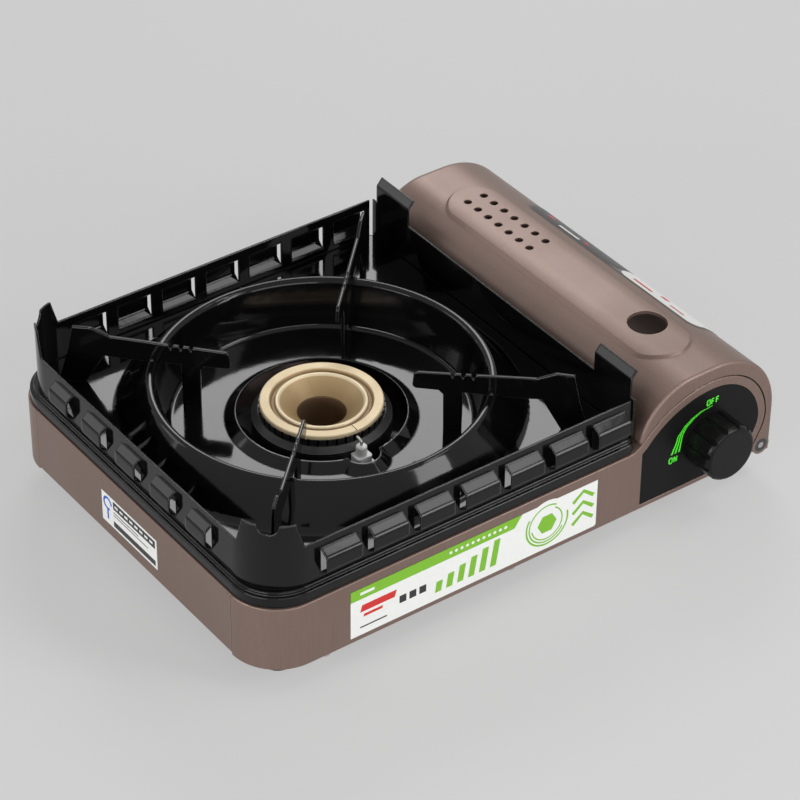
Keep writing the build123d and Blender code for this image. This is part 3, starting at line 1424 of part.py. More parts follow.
# ---------------------------------------------------------------------------
# Spark electrode and its lead
# ---------------------------------------------------------------------------
electrode_x = burner_x - 4.0
electrode_gap = 0.6
insulator_width = 9.5
insulator_depth = 8.0
insulator_foot_z = 44.0
insulator_step_z = 59.0
insulator_top_z = 65.0
insulator_top_radius = 3.1
insulator_edge_round = 1.5
insulator_top_round = 1.0
needle_radius = 0.8
needle_rise = 2.6
needle_reach = 4.0
needle_lift = 0.6
needle_bend = 1.5
electrode_plate_z = 52.0
electrode_plate_half = 7.0
electrode_plate_sheet = 1.2
electrode_plate_lap = 2.5
lead_radius = 1.2
electrode_back_y = burner_y - sqrt(bowl_radius**2 - (electrode_x - burner_x) ** 2) - electrode_gap
electrode_y = electrode_back_y - insulator_depth / 2

with BuildPart() as electrode_insulator:
    half_width = insulator_width / 2
    block(
        (electrode_x - half_width, electrode_x + half_width),
        (electrode_back_y - insulator_depth, electrode_back_y),
        (insulator_foot_z, insulator_step_z),
    )
    fillet(electrode_insulator.edges().filter_by(Axis.Z), insulator_edge_round)
    bar_z(electrode_x, electrode_y, insulator_top_radius, insulator_step_z, insulator_top_z)
    fillet(electrode_insulator.faces().sort_by(Axis.Z)[-1].edges(), insulator_top_round)
    bar_z(electrode_x, electrode_y, needle_radius, insulator_step_z, insulator_top_z, mode=Mode.SUBTRACT)
electrode_insulator.part.label = "electrode_insulator"
export_step(electrode_insulator.part, "parts/electrode_insulator.step")

with BuildPart() as electrode_needle:
    with BuildLine():
        route = FilletPolyline(
            (electrode_x, electrode_y, insulator_step_z),
            (electrode_x, electrode_y, insulator_top_z + needle_rise),
            (electrode_x, electrode_y + needle_reach, insulator_top_z + needle_rise + needle_lift),
            radius=needle_bend,
        )
    with BuildSketch(Plane(route @ 0, z_dir=route % 0)):
        Circle(needle_radius)
    sweep()
electrode_needle.part.label = "electrode_needle"
export_step(electrode_needle.part, "parts/electrode_needle.step")

with BuildPart() as electrode_bracket:
    plate_front_y = electrode_back_y - insulator_depth - electrode_plate_lap
    plate_y = (plate_front_y, electrode_back_y + electrode_gap + electrode_plate_lap)
    plate_x = (electrode_x - electrode_plate_half, electrode_x + electrode_plate_half)
    plate_z = (electrode_plate_z, electrode_plate_z + electrode_plate_sheet)
    block(plate_x, plate_y, plate_z)
    insulator_x = (electrode_x - half_width, electrode_x + half_width)
    block(insulator_x, (electrode_back_y - insulator_depth, electrode_back_y), plate_z, mode=Mode.SUBTRACT)
    bar_z(burner_x, burner_y, bowl_radius, bowl_foot_z, bowl_top_z, mode=Mode.SUBTRACT)
electrode_bracket.part.label = "electrode_bracket"
export_step(electrode_bracket.part, "parts/electrode_bracket.step")

lead_z = 47.5
lead_points = [
    (piezo_x[0] - lead_socket, cam_mid_y, spindle_z),
    (piezo_x[0] - 24.0, cam_mid_y, spindle_z),
    (burner_x + 69.0, front_y + 19.0, lead_z - 1.0),
    (burner_x + 31.0, front_y + 35.0, lead_z + 0.5),
    (electrode_x, front_y + 53.0, lead_z),
    (electrode_x, electrode_back_y - insulator_depth, lead_z),
]
lead_ease = 0.45


def bend_radii(points):
    """Radii for a cord's corners, each as large as its two runs allow."""
    spots = [Vector(*point) for point in points]
    runs = [after - before for before, after in zip(spots, spots[1:])]
    turns = [radians(first.get_angle(second)) for first, second in zip(runs, runs[1:])]
    return [
        lead_ease * min(first.length, second.length) / tan(turn / 2)
        for first, second, turn in zip(runs, runs[1:], turns)
    ]


with BuildPart() as ignition_lead:
    with BuildLine():
        route = FilletPolyline(*lead_points, radius=bend_radii(lead_points))
    with BuildSketch(Plane(route @ 0, z_dir=route % 0)):
        Circle(lead_radius)
    sweep()
ignition_lead.part.label = "ignition_lead"
export_step(ignition_lead.part, "parts/ignition_lead.step")

# ---------------------------------------------------------------------------
# Feet and the screws that hold the end panels to the floor
# ---------------------------------------------------------------------------
foot_radius = 11.0
foot_tip = 1.5
foot_chamfer = 1.0
foot_band = 3.0
foot_xs = (left_x + 26.5, right_x - 40.5)
foot_ys = (front_y + 26.0, back_y - 26.0)

with BuildPart() as rubber_feet:
    for x in foot_xs:
        for y in foot_ys:
            with BuildSketch(Plane((x, y, 0), x_dir=(1, 0, 0), z_dir=(0, -1, 0))):
                with BuildLine():
                    Polyline(
                        (0, 0),
                        (foot_radius - foot_tip - foot_chamfer, 0),
                        (foot_radius - foot_tip, foot_chamfer),
                        (foot_radius, foot_height - foot_band),
                        (foot_radius, foot_height),
                        (0, foot_height),
                        (0, 0),
                    )
                make_face()
            revolve(axis=Axis((x, y, 0), (0, 0, 1)))
rubber_feet.part.label = "rubber_feet"
export_step(rubber_feet.part, "parts/rubber_feet.step")

with BuildPart() as case_screws:
    for x in case_screw_xs:
        for y in (front_y + case_screw_inset, back_y - case_screw_inset):
            bar_z(x, y, case_screw_radius, foot_height, floor_top_z + sheet)
            bar_z(x, y, screw_head_radius, foot_height - screw_head, foot_height)
case_screws.part.label = "case_screws"
export_step(case_screws.part, "parts/case_screws.step")
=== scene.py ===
import json
from math import cos, pi, radians, sin, sqrt

import bmesh
import bpy
from mathutils import Matrix, Vector


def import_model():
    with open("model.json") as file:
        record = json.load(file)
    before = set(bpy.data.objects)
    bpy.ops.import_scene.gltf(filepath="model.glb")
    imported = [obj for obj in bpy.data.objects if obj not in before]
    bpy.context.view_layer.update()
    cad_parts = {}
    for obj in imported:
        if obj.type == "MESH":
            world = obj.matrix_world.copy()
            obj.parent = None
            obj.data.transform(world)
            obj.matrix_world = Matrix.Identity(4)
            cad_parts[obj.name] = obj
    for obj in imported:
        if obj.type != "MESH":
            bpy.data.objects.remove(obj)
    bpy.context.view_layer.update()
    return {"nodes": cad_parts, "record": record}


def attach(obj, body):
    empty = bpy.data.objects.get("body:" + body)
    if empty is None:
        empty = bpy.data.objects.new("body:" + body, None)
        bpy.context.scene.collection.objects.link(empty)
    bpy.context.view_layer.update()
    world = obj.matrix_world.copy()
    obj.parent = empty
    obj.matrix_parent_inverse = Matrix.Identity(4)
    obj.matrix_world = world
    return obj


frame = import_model()
NODES = frame["nodes"]
MM = 0.001

# ---------------------------------------------------------------------------
# Places and levels that the parts below share; places are in millimetres
# ---------------------------------------------------------------------------
BURNER = (-47.0, 9.5)  # the burner's axis
FRONT_Y = -115.0  # plane of the front panel
LEFT_X = -170.5  # plane of the left wall

BACKDROP = 0.68  # colour of the floor and of what is behind it
EVENNESS = 0.55  # share of the floor's colour that doesn't follow the light


def srgb(red, green, blue):
    """Linear colour of an sRGB one given from 0 to 255."""
    parts = []
    for value in (red, green, blue):
        part = value / 255
        parts.append(part / 12.92 if part <= 0.04045 else ((part + 0.055) / 1.055) ** 2.4)
    return tuple(parts)


# ---------------------------------------------------------------------------
# Finishes: lengths are in metres and the scales of patterns in cycles a metre
# ---------------------------------------------------------------------------
MIDDLE = (0.35, 0.65)  # where most of one noise lies
SUM_MIDDLE = (0.7, 1.3)  # where most of the sum of two noises lies
EDGE_AGREEMENT = (0.75, 0.995)  # of the rounded and the plain normal, at an edge and beside it
OPEN_SHARE = (0.55, 0.97)  # of the sky over a point, deep in a corner and on an open face


class Look:
    """One finish: a Principled shader with short ways to add the nodes that drive it."""

    def __init__(self, name, colour, **sockets):
        self.material = bpy.data.materials.new(name)
        self.material.use_nodes = True
        self.tree = self.material.node_tree
        self.shader = self.tree.nodes["Principled BSDF"]
        self.set("Base Color", (*colour, 1.0))
        self.colour = (*colour, 1.0)
        for socket, value in sockets.items():
            self.set(socket.replace("_", " "), value)
        self.coords = self.tree.nodes.new("ShaderNodeTexCoord").outputs["Object"]
        self.normal = None

    def set(self, socket, value):
        """Sets a socket of the shader to a value, or links an output to it."""
        if isinstance(value, bpy.types.NodeSocket):
            self.tree.links.new(value, self.shader.inputs[socket])
        else:
            self.shader.inputs[socket].default_value = value

    def node(self, kind, output, inputs, **options):
        """Adds a node and returns one of its outputs."""
        made = self.tree.nodes.new("ShaderNode" + kind)
        for option, value in options.items():
            setattr(made, option, value)
        for key, value in inputs.items():
            if isinstance(value, bpy.types.NodeSocket):
                self.tree.links.new(value, made.inputs[key])
            else:
                made.inputs[key].default_value = value
        return made.outputs[output]

    def math(self, operation, first, second):
        """Result of one Math node."""
        return self.node("Math", 0, {0: first, 1: second}, operation=operation)

    def placed(self, scale):
        """The coordinates stretched by three factors."""
        return self.node("Mapping", "Vector", {"Vector": self.coords, "Scale": scale})

    def noise(self, scale, detail, stretch=None, roughness=0.5):
        """Cloudy noise."""
        vector = self.placed(stretch) if stretch else self.coords
        inputs = {"Vector": vector, "Scale": scale, "Detail": detail, "Roughness": roughness}
        return self.node("TexNoise", "Fac", inputs)

    def spread(self, value, low, high, across=MIDDLE):
        """Maps a range of a value, from its start to its end, onto the range from low to high."""
        start, end = across
        inputs = {"Value": value, "From Min": start, "From Max": end, "To Min": low, "To Max": high}
        return self.node("MapRange", "Result", inputs)

    def mix(self, factor, first, second):
        """Mixes two colours."""
        made = self.tree.nodes.new("ShaderNodeMix")
        made.data_type = "RGBA"
        for key, value in ((0, factor), (6, first), (7, second)):
            if isinstance(value, bpy.types.NodeSocket):
                self.tree.links.new(value, made.inputs[key])
            elif key:
                made.inputs[key].default_value = (*value[:3], 1.0)
            else:
                made.inputs[key].default_value = value
        return made.outputs[2]

    def edges(self, radius):
        """1 along convex and concave edges within a radius, 0 on flat areas."""
        rounded = self.node("Bevel", "Normal", {"Radius": radius}, samples=6)
        plain = self.node("NewGeometry", "Normal", {})
        inputs = {0: rounded, 1: plain}
        agreement = self.node("VectorMath", "Value", inputs, operation="DOT_PRODUCT")
        return self.spread(agreement, 1.0, 0.0, EDGE_AGREEMENT)

    def corner_shade(self, reach):
        """1 deep in inner corners within a reach, where shade falls, 0 on open faces; it drives
        painted shade.
        """
        inputs = {"Distance": reach}
        open_share = self.node("AmbientOcclusion", "AO", inputs, samples=8, only_local=True)
        return self.spread(open_share, 1.0, 0.0, OPEN_SHARE)

    def from_burner(self):
        """Distance from the burner's axis."""
        centre = (BURNER[0] * MM, BURNER[1] * MM, 0.0)
        away = self.node("VectorMath", "Vector", {0: self.coords, 1: centre}, operation="SUBTRACT")
        inputs = {0: away, 1: (1.0, 1.0, 0.0)}
        flat = self.node("VectorMath", "Vector", inputs, operation="MULTIPLY")
        return self.node("VectorMath", "Value", {0: flat}, operation="LENGTH")

    def ring(self, radius, inner, outer, soft=0.0006):
        """1 between two radii, with soft edges."""
        rise = self.spread(radius, 0.0, 1.0, (inner - soft, inner))
        fall = self.spread(radius, 1.0, 0.0, (outer, outer + soft))
        return self.math("MULTIPLY", rise, fall)

    def tint(self, factor, colour, strength=None):
        """Lays a colour over the base colour so far; a strength scales the factor."""
        if strength is not None:
            factor = self.math("MULTIPLY", factor, strength)
        self.colour = self.mix(factor, self.colour, colour)
        self.set("Base Color", self.colour)

    def mottle(self, pattern, amount, colour, across=MIDDLE):
        """Lays up to an amount of a colour over the places where a pattern is high."""
        self.tint(self.spread(pattern, 0.0, amount, across), colour)

    def roughen(self, pattern, low, high, across=MIDDLE):
        """Lets a pattern drive the roughness."""
        self.set("Roughness", self.spread(pattern, low, high, across))

    def soften(self, radius):
        """Shades sharp edges as if they were rounded to a radius."""
        self.normal = self.node("Bevel", "Normal", {"Radius": radius}, samples=8)
        self.set("Normal", self.normal)

    def bump(self, height, distance):
        """Adds relief."""
        inputs = {"Height": height, "Distance": distance, "Strength": 1.0}
        if self.normal:
            inputs["Normal"] = self.normal
        self.normal = self.node("Bump", "Normal", inputs)
        self.set("Normal", self.normal)


def painted_case():
    """Brown metallic paint with a brushed grain and flakes, painted shade in its inner corners and
    a painted highlight along its edges that is partly edge wear.
    """
    brown = srgb(124, 103, 95)
    look = Look("painted_case", brown, Metallic=0.6, Coat_Weight=0.2, Coat_Roughness=0.3)
    look.soften(0.0006)
    clouds = look.noise(14.0, 3.0)
    grain = look.noise(60.0, 3.0, stretch=(24.0, 24.0, 0.6), roughness=0.6)
    flakes = look.noise(2600.0, 1.0)
    look.mottle(clouds, 0.35, srgb(112, 90, 80))
    look.mottle(grain, 0.22, srgb(150, 126, 113))
    look.mottle(flakes, 0.3, srgb(172, 156, 146), (0.55, 0.75))
    # painted shade: the paint turns darker brown deep in inner corners and at the feet of steps
    look.tint(look.corner_shade(0.004), srgb(66, 52, 46), 0.75)
    # painted highlight along convex and concave edges, partly edge wear: a pale line
    look.tint(look.edges(0.0006), srgb(222, 196, 174), 0.45)
    look.roughen(look.math("ADD", clouds, grain), 0.42, 0.54, SUM_MIDDLE)
    look.bump(look.math("ADD", grain, look.math("MULTIPLY", flakes, 0.6)), 0.00002)
    return look


def black_enamel():
    """Glossy vitreous enamel with specks, smudges, a faint orange peel and a painted highlight
    along its edges.
    """
    look = Look("black_enamel", (0.003, 0.003, 0.0033), Specular_IOR_Level=0.3)
    look.soften(0.0015)
    look.roughen(look.noise(22.0, 4.0, roughness=0.6), 0.05, 0.12)
    look.mottle(look.noise(900.0, 2.0), 0.5, (0.02, 0.02, 0.021), (0.68, 0.78))
    # painted highlight: a grey line along the enamel's edges
    look.tint(look.edges(0.0004), (0.2, 0.2, 0.2), 0.5)
    look.bump(look.noise(140.0, 2.0), 0.00003)
    return look


def black_fascia():
    """Satin black plate with a fine grain."""
    look = Look("black_fascia", (0.0055, 0.0058, 0.0055), Specular_IOR_Level=0.1)
    grain = look.noise(3000.0, 1.0)
    look.roughen(look.noise(40.0, 3.0), 0.3, 0.42)
    look.mottle(grain, 0.5, (0.009, 0.009, 0.009))
    look.tint(look.edges(0.0003), (0.05, 0.048, 0.045), 0.5)
    look.bump(grain, 0.00001)
    return look


def knob_plastic():
    """Moulded black plastic, lighter along its edges: partly wear on its ribs, partly painted
    highlight.
    """
    look = Look("knob_plastic", (0.005, 0.005, 0.0052), Specular_IOR_Level=0.18)
    grain = look.noise(4200.0, 1.0)
    look.roughen(look.noise(60.0, 3.0), 0.24, 0.34)
    look.mottle(grain, 0.6, (0.008, 0.008, 0.008))
    # painted highlight along the edges of the ribs and flutes, partly wear
    look.tint(look.edges(0.0004), (0.05, 0.05, 0.05), 0.4)
    look.bump(grain, 0.000015)
    return look


def inner_plastic():
    """Dark grey plastic of the parts inside."""
    look = Look("inner_plastic", (0.03, 0.03, 0.032))
    grain = look.noise(2800.0, 1.0)
    look.roughen(look.noise(90.0, 3.0), 0.4, 0.55)
    look.mottle(grain, 0.5, (0.045, 0.045, 0.047))
    look.bump(grain, 0.00002)
    return look


def sheet_metal(name, colour, dark, roughness, stretch):
    """Bare metal with a grain, clouds of tarnish and bright edges."""
    look = Look(name, colour, Metallic=1.0)
    grain = look.noise(40.0, 3.0, stretch=stretch, roughness=0.6)
    clouds = look.noise(35.0, 4.0)
    look.mottle(clouds, 0.6, dark)
    look.mottle(grain, 0.35, dark)
    look.tint(look.edges(0.0003), (0.85, 0.84, 0.82), 0.4)
    look.roughen(look.math("ADD", clouds, grain), roughness, roughness + 0.14, SUM_MIDDLE)
    look.bump(grain, 0.00001)
    return look


def heat_plate():
    """Bare steel with a heat bloom on the side of the burner."""
    look = sheet_metal("heat_plate", (0.6, 0.6, 0.6), (0.38, 0.37, 0.36), 0.3, (1.0, 30.0, 30.0))
    bloom = look.node("TexGradient", "Fac", {"Vector": look.placed((12.0, 1.0, 1.0))})
    look.tint(look.spread(bloom, 0.35, 0.0, (-0.2, 0.6)), (0.4, 0.3, 0.2))
    return look


def zinc_sheet():
    """Galvanised sheet with its spangle."""
    look = Look("zinc_sheet", (0.58, 0.59, 0.6), Metallic=1.0)
    cells = look.node("TexVoronoi", "Color", {"Vector": look.coords, "Scale": 160.0})
    spangle = look.node("RGBToBW", 0, {0: cells})
    look.mottle(spangle, 0.5, (0.42, 0.43, 0.45), (0.2, 0.8))
    look.mottle(look.noise(25.0, 4.0), 0.4, (0.33, 0.33, 0.33))
    look.roughen(spangle, 0.32, 0.5, (0.2, 0.8))
    look.bump(look.noise(600.0, 2.0), 0.00001)
    return look


def cast_metal(name, colour, dark, roughness):
    """Cast metal with a sandy skin."""
    look = Look(name, colour, Metallic=0.9)
    skin = look.noise(1400.0, 3.0, roughness=0.6)
    look.mottle(look.noise(60.0, 4.0), 0.7, dark)
    look.tint(look.edges(0.0004), (0.6, 0.58, 0.55), 0.4)
    look.roughen(skin, roughness, roughness + 0.15)
    look.bump(skin, 0.00005)
    return look


def burner_casting():
    """Dark cast alloy, brown towards the burner's axis: partly heat tint, partly painted light that
    brightens the inside of the throat, which gets little light.
    """
    look = cast_metal("cast_alloy", (0.06, 0.06, 0.06), (0.025, 0.024, 0.024), 0.38)
    # brown near the axis: heat tint, brightened as painted light on the dim inside of the throat
    look.tint(look.spread(look.from_burner(), 0.85, 0.0, (0.012, 0.022)), (0.5, 0.33, 0.19))
    return look


CAP_CONE = (0.013, 0.0225)  # radii of the cap's parts; the cone goes down to the throat
CAP_CONE_END = 0.0226
CAP_BEAD = (0.0232, 0.0254)
CAP_GROOVE = (0.0259, 0.0281)
CAP_RIM = (0.0287, 0.04)


def brass_cap():
    """Turned brass that heat has dulled, with pale beads, a brown cone and groove, and painted
    shade in its inner corners.
    """
    look = Look("brass_cap", srgb(190, 164, 122), Metallic=0.3)
    radius = look.from_burner()
    inputs = {"W": radius, "Scale": 3200.0, "Detail": 2.0}
    turning = look.node("TexNoise", "Fac", inputs, noise_dimensions="1D")
    clouds = look.noise(70.0, 4.0)
    look.mottle(clouds, 0.4, srgb(170, 142, 100))
    look.mottle(turning, 0.3, srgb(208, 186, 148))
    look.mottle(look.noise(200.0, 3.0), 0.35, srgb(150, 118, 78), (0.6, 0.75))
    depth = look.spread(radius, 0.9, 0.35, CAP_CONE)
    inside = look.ring(radius, 0.0, CAP_CONE_END)
    look.tint(look.math("MULTIPLY", depth, inside), srgb(136, 108, 70))
    look.tint(look.ring(radius, *CAP_BEAD), srgb(232, 216, 182), 0.85)
    look.tint(look.ring(radius, *CAP_GROOVE), srgb(138, 108, 68), 0.7)
    look.tint(look.ring(radius, *CAP_RIM), srgb(222, 204, 170), 0.75)
    # painted shade: darker brown deep in the cap's inner corners
    look.tint(look.corner_shade(0.003), srgb(104, 78, 46), 0.7)
    look.tint(look.edges(0.0005), srgb(240, 228, 200), 0.6)
    look.roughen(look.math("ADD", clouds, turning), 0.42, 0.54, SUM_MIDDLE)
    look.bump(turning, 0.00002)
    return look


def ceramic():
    """Glazed white insulator with a few specks."""
    look = Look("ceramic", (0.82, 0.83, 0.82), Coat_Weight=0.35, Coat_Roughness=0.15)
    clouds = look.noise(160.0, 3.0)
    specks = look.noise(1500.0, 1.0)
    look.mottle(clouds, 0.5, (0.7, 0.7, 0.68))
    look.mottle(specks, 0.35, (0.45, 0.43, 0.4), (0.66, 0.78))
    look.roughen(clouds, 0.35, 0.5)
    look.bump(specks, 0.00002)
    return look


def moulded(name, colour, pale, roughness, scale):
    """Rubber or a soft jacket with a fine moulded skin."""
    look = Look(name, colour)
    skin = look.noise(scale, 2.0)
    look.mottle(skin, 0.6, pale)
    look.mottle(look.noise(45.0, 3.0), 0.35, pale)
    look.roughen(skin, roughness, roughness + 0.15)
    look.bump(skin, 0.00003)
    return look


def print_ink(name, colour, roughness=0.3):
    """Sticker film or screen-printed ink with a faint mottle."""
    look = Look(name, colour)
    patches = look.noise(700.0, 2.0)
    look.mottle(patches, 0.12, tuple(0.8 * part for part in colour))
    look.roughen(patches, roughness, roughness + 0.1)
    look.bump(patches, 0.000004)
    return look.material


BANDED = (1.0, 1.0, 20.0)  # stretch of a grain that runs round an upright piece
SEAL_PALE = (0.035, 0.035, 0.035)
FEET_PALE = (0.035, 0.034, 0.033)
FINISHES = {
    "painted_case": painted_case(),
    "black_fascia": black_fascia(),
    "knob_plastic": knob_plastic(),
    "inner_plastic": inner_plastic(),
    "steel": sheet_metal("steel", (0.62, 0.61, 0.6), (0.36, 0.35, 0.34), 0.22, BANDED),
    "zinc_sheet": zinc_sheet(),
    "black_enamel": black_enamel(),
    "cast_alloy": burner_casting(),
    "die_cast": cast_metal("die_cast", (0.55, 0.55, 0.56), (0.36, 0.36, 0.37), 0.34),
    "heat_plate": heat_plate(),
    "brass": sheet_metal("brass", (0.72, 0.5, 0.2), (0.42, 0.27, 0.1), 0.24, BANDED),
    "brass_cap": brass_cap(),
    "magnet": cast_metal("magnet", (0.2, 0.2, 0.21), (0.1, 0.1, 0.1), 0.3),
    "ceramic": ceramic(),
    "lead_jacket": moulded("lead_jacket", (0.45, 0.4, 0.34), (0.6, 0.55, 0.48), 0.45, 900.0),
    "seal_rubber": moulded("seal_rubber", (0.02, 0.02, 0.02), SEAL_PALE, 0.55, 1500.0),
    "feet_rubber": moulded("feet_rubber", (0.018, 0.018, 0.018), FEET_PALE, 0.6, 1800.0),
}
for part in frame["record"]["subparts"]:
    materials = NODES[part["node"]].data.materials
    materials.clear()
    materials.append(FINISHES[part["material_slot"]].material)

GREEN_INK = print_ink("green_ink", srgb(78, 236, 40), roughness=0.45)
WHITE_FILM = print_ink("white_film", srgb(236, 237, 234))
LIME_FILM = print_ink("lime_film", srgb(122, 184, 36))
GREY_FILM = print_ink("grey_film", srgb(92, 94, 92))
BLACK_FILM = print_ink("black_film", srgb(38, 38, 40))
BLUE_FILM = print_ink("blue_film", srgb(30, 86, 200))
RED_FILM = print_ink("red_film", srgb(206, 38, 34))


# ---------------------------------------------------------------------------
# Building pieces, in millimetres
# ---------------------------------------------------------------------------
def linked(name, data):
    """A new object in the scene."""
    obj = bpy.data.objects.new(name, data)
    bpy.context.scene.collection.objects.link(obj)
    return obj


def piece(name, mesh, material, body):
    """Puts a finished bmesh on a body and in a slot."""
    data = bpy.data.meshes.new(name)
    bmesh.ops.recalc_face_normals(mesh, faces=mesh.faces)
    mesh.to_mesh(data)
    mesh.free()
    data.transform(Matrix.Scale(MM, 4))
    data.materials.append(material)
    obj = linked(name, data)
    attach(obj, body)


def plate(mesh, outline, place, thickness):
    """Adds a plate with an outline in a plane's coordinates; place makes a point of (u, v, w)."""
    count = len(outline)
    back = [mesh.verts.new(place(u, v, 0.0)) for u, v in outline]
    front = [mesh.verts.new(place(u, v, thickness)) for u, v in outline]
    mesh.faces.new(back[::-1])
    mesh.faces.new(front)
    for i in range(count):
        j = (i + 1) % count
        mesh.faces.new((back[i], back[j], front[j], front[i]))


def on_front(u, v, w):
    """A point on the front panel's plane."""
    return (u, FRONT_Y - w, v)


def on_left(u, v, w):
    """A point on the left wall's plane, its first coordinate running forward."""
    return (LEFT_X - w, -u, v)


def sheet_piece(name, outlines, place, thickness, material):
    """A flat piece of a label on the case, made of several outlines."""
    mesh = bmesh.new()
    for outline in outlines:
        plate(mesh, outline, place, thickness)
    piece(name, mesh, material, "body")


def bar(x, z, width, height, lean=0.0):
    """Outline of an upright bar that may lean."""
    return [(x, z), (x + width, z), (x + width + lean, z + height), (x + lean, z + height)]


def disc(centre, radius, sides=48):
    """Outline of a disc."""
    turns = [2 * pi * i / sides for i in range(sides)]
    return [(centre[0] + radius * cos(turn), centre[1] + radius * sin(turn)) for turn in turns]


def band(centre, radius, width, start, end, steps=40):
    """Outline of a flat arc from one angle in degrees to another."""
    outer, inner = [], []
    for i in range(steps + 1):
        angle = radians(start + (end - start) * i / steps)
        for points, reach in ((outer, radius + width / 2), (inner, radius - width / 2)):
            points.append((centre[0] + reach * cos(angle), centre[1] + reach * sin(angle)))
    return outer + inner[::-1]


def stroke(points, width):
    """Outline of a line with square ends drawn through points."""
    left, right = [], []
    for i, (x, y) in enumerate(points):
        before = points[max(i - 1, 0)]
        after = points[min(i + 1, len(points) - 1)]
        dx, dy = after[0] - before[0], after[1] - before[1]
        length = sqrt(dx * dx + dy * dy)
        nx, ny = -dy / length * width / 2, dx / length * width / 2
        left.append((x + nx, y + ny))
        right.append((x - nx, y - ny))
    return left + right[::-1]


# ---------------------------------------------------------------------------
# Green print on the fascia
# ---------------------------------------------------------------------------
INK = 0.06  # thickness
INK_STEP = 0.002  # what each stroke of a letter adds, so that crossing strokes share no face
LETTER_STROKE = 0.85
LETTER_WIDTH = 0.85  # factor on the width of the letters, which are drawn below 1 high
LETTERS = {
    "N": ([(0.0, 0.0), (0.0, 1.0)], [(0.0, 1.0), (0.62, 0.0)], [(0.62, 0.0), (0.62, 1.0)]),
    "F": ([(0.0, 0.0), (0.0, 1.0)], [(0.0, 1.0), (0.56, 1.0)], [(0.0, 0.52), (0.48, 0.52)]),
    "O": (
        [(0.2, 0.0), (0.5, 0.0)],
        [(0.5, 0.0), (0.64, 0.05), (0.7, 0.2)],
        [(0.7, 0.2), (0.7, 0.8)],
        [(0.7, 0.8), (0.64, 0.95), (0.5, 1.0)],
        [(0.5, 1.0), (0.2, 1.0)],
        [(0.2, 1.0), (0.06, 0.95), (0.0, 0.8)],
        [(0.0, 0.8), (0.0, 0.2)],
        [(0.0, 0.2), (0.06, 0.05), (0.2, 0.0)],
    ),
}


def lettering(name, text, left, foot, height, advance):
    """Prints a short word on the fascia."""
    mesh = bmesh.new()
    for i, letter in enumerate(text):
        start = left + i * advance
        for number, points in enumerate(LETTERS[letter]):
            moved = [(start + x * height * LETTER_WIDTH, foot + y * height) for x, y in points]
            plate(mesh, stroke(moved, LETTER_STROKE), on_front, INK + INK_STEP * number)
    piece(name, mesh, GREEN_INK, "body")


lettering("print_on", "ON", left=96.3, foot=37.4, height=3.5, advance=3.4)
lettering("print_off", "OFF", left=121.1, foot=66.2, height=3.4, advance=3.2)

WEDGE_OUTER = (
    (96.8, 43.0), (99.8, 49.6), (101.1, 54.0), (105.9, 59.3),
    (110.8, 62.4), (116.6, 64.5), (125.2, 65.0),
)
WEDGE_INNER = (
    (103.9, 43.0), (104.4, 48.0), (105.2, 53.4), (107.6, 57.6),
    (112.4, 61.2), (117.6, 63.6), (125.2, 64.6),
)
WEDGE_LINES = (0.14, 0.5, 0.86)  # where the lines lie between the outer and the inner side
WEDGE_LINE_WIDTH = 0.2  # as a share of the wedge's width


def along(points, share):
    """Point at a share of a chain, counted in its parts."""
    place = share * (len(points) - 1)
    first = min(int(place), len(points) - 2)
    part = place - first
    return tuple(a + (b - a) * part for a, b in zip(points[first], points[first + 1]))


def wedge_line(across, steps=48):
    """Outline of one of the wedge's heat lines, thinning out as it climbs."""
    half = WEDGE_LINE_WIDTH / 2
    outer, inner = [], []
    for i in range(steps + 1):
        share = i / steps
        low, high = along(WEDGE_OUTER, share), along(WEDGE_INNER, share)
        for points, at in ((outer, across - half), (inner, across + half)):
            points.append(tuple(a + (b - a) * at for a, b in zip(low, high)))
    return outer + inner[::-1]


wedge = bmesh.new()
for across in WEDGE_LINES:
    plate(wedge, wedge_line(across), on_front, INK)
piece("print_heat_wedge", wedge, GREEN_INK, "body")

# ---------------------------------------------------------------------------
# Labels: the thicknesses differ so that layers share no face
# ---------------------------------------------------------------------------
FILM, TAB_FILM, PRINT, OVERPRINT = 0.1, 0.11, 0.13, 0.15

# front: white film with a round tab, a lime band, rings, leaning bars, chevrons and small marks
LEFT, RIGHT, FOOT, TOP = -116.0, 46.0, 18.4, 49.5
TAB = (12.0, 35.6)
front_film = [(LEFT, FOOT), (RIGHT - 1.0, FOOT), (RIGHT, FOOT + 1.0), (RIGHT, TOP), (LEFT, TOP)]
sheet_piece("front_label", [front_film], on_front, FILM, WHITE_FILM)
sheet_piece("front_label_tab", [disc(TAB, 15.4)], on_front, TAB_FILM, WHITE_FILM)
ribbon = [(LEFT, 42.4), (-10.0, 42.4), (-5.0, TOP), (LEFT, TOP)]
sheet_piece("front_label_band", [ribbon], on_front, PRINT, LIME_FILM)
beads = [disc((-52.0 + 3.6 * i, 45.9), 1.0, sides=12) for i in range(11)]
dash = bar(-110.0, 45.0, 9.0, 1.8)
sheet_piece("front_label_beads", beads + [dash], on_front, OVERPRINT, WHITE_FILM)
rings = [
    band(TAB, 13.9, 1.1, 150, 372),
    band(TAB, 12.0, 0.9, 60, 330),
    band(TAB, 10.2, 0.8, 190, 420),
    disc(TAB, 6.4, sides=6),
]
sheet_piece("front_label_rings", rings, on_front, OVERPRINT, LIME_FILM)
bars = [bar(-62.0 + 7.2 * i, 23.4, 4.0, 7.0 + 2.0 * i, lean=1.0 + 0.35 * i) for i in range(6)]
chevrons = []
for i in range(3):
    rise = 7.4 * i
    chevrons.append(stroke([(29.5, 26.0 + rise), (36.5, 31.6 + rise), (43.5, 26.0 + rise)], 2.3))
sheet_piece("front_label_bars", bars + chevrons, on_front, OVERPRINT, LIME_FILM)
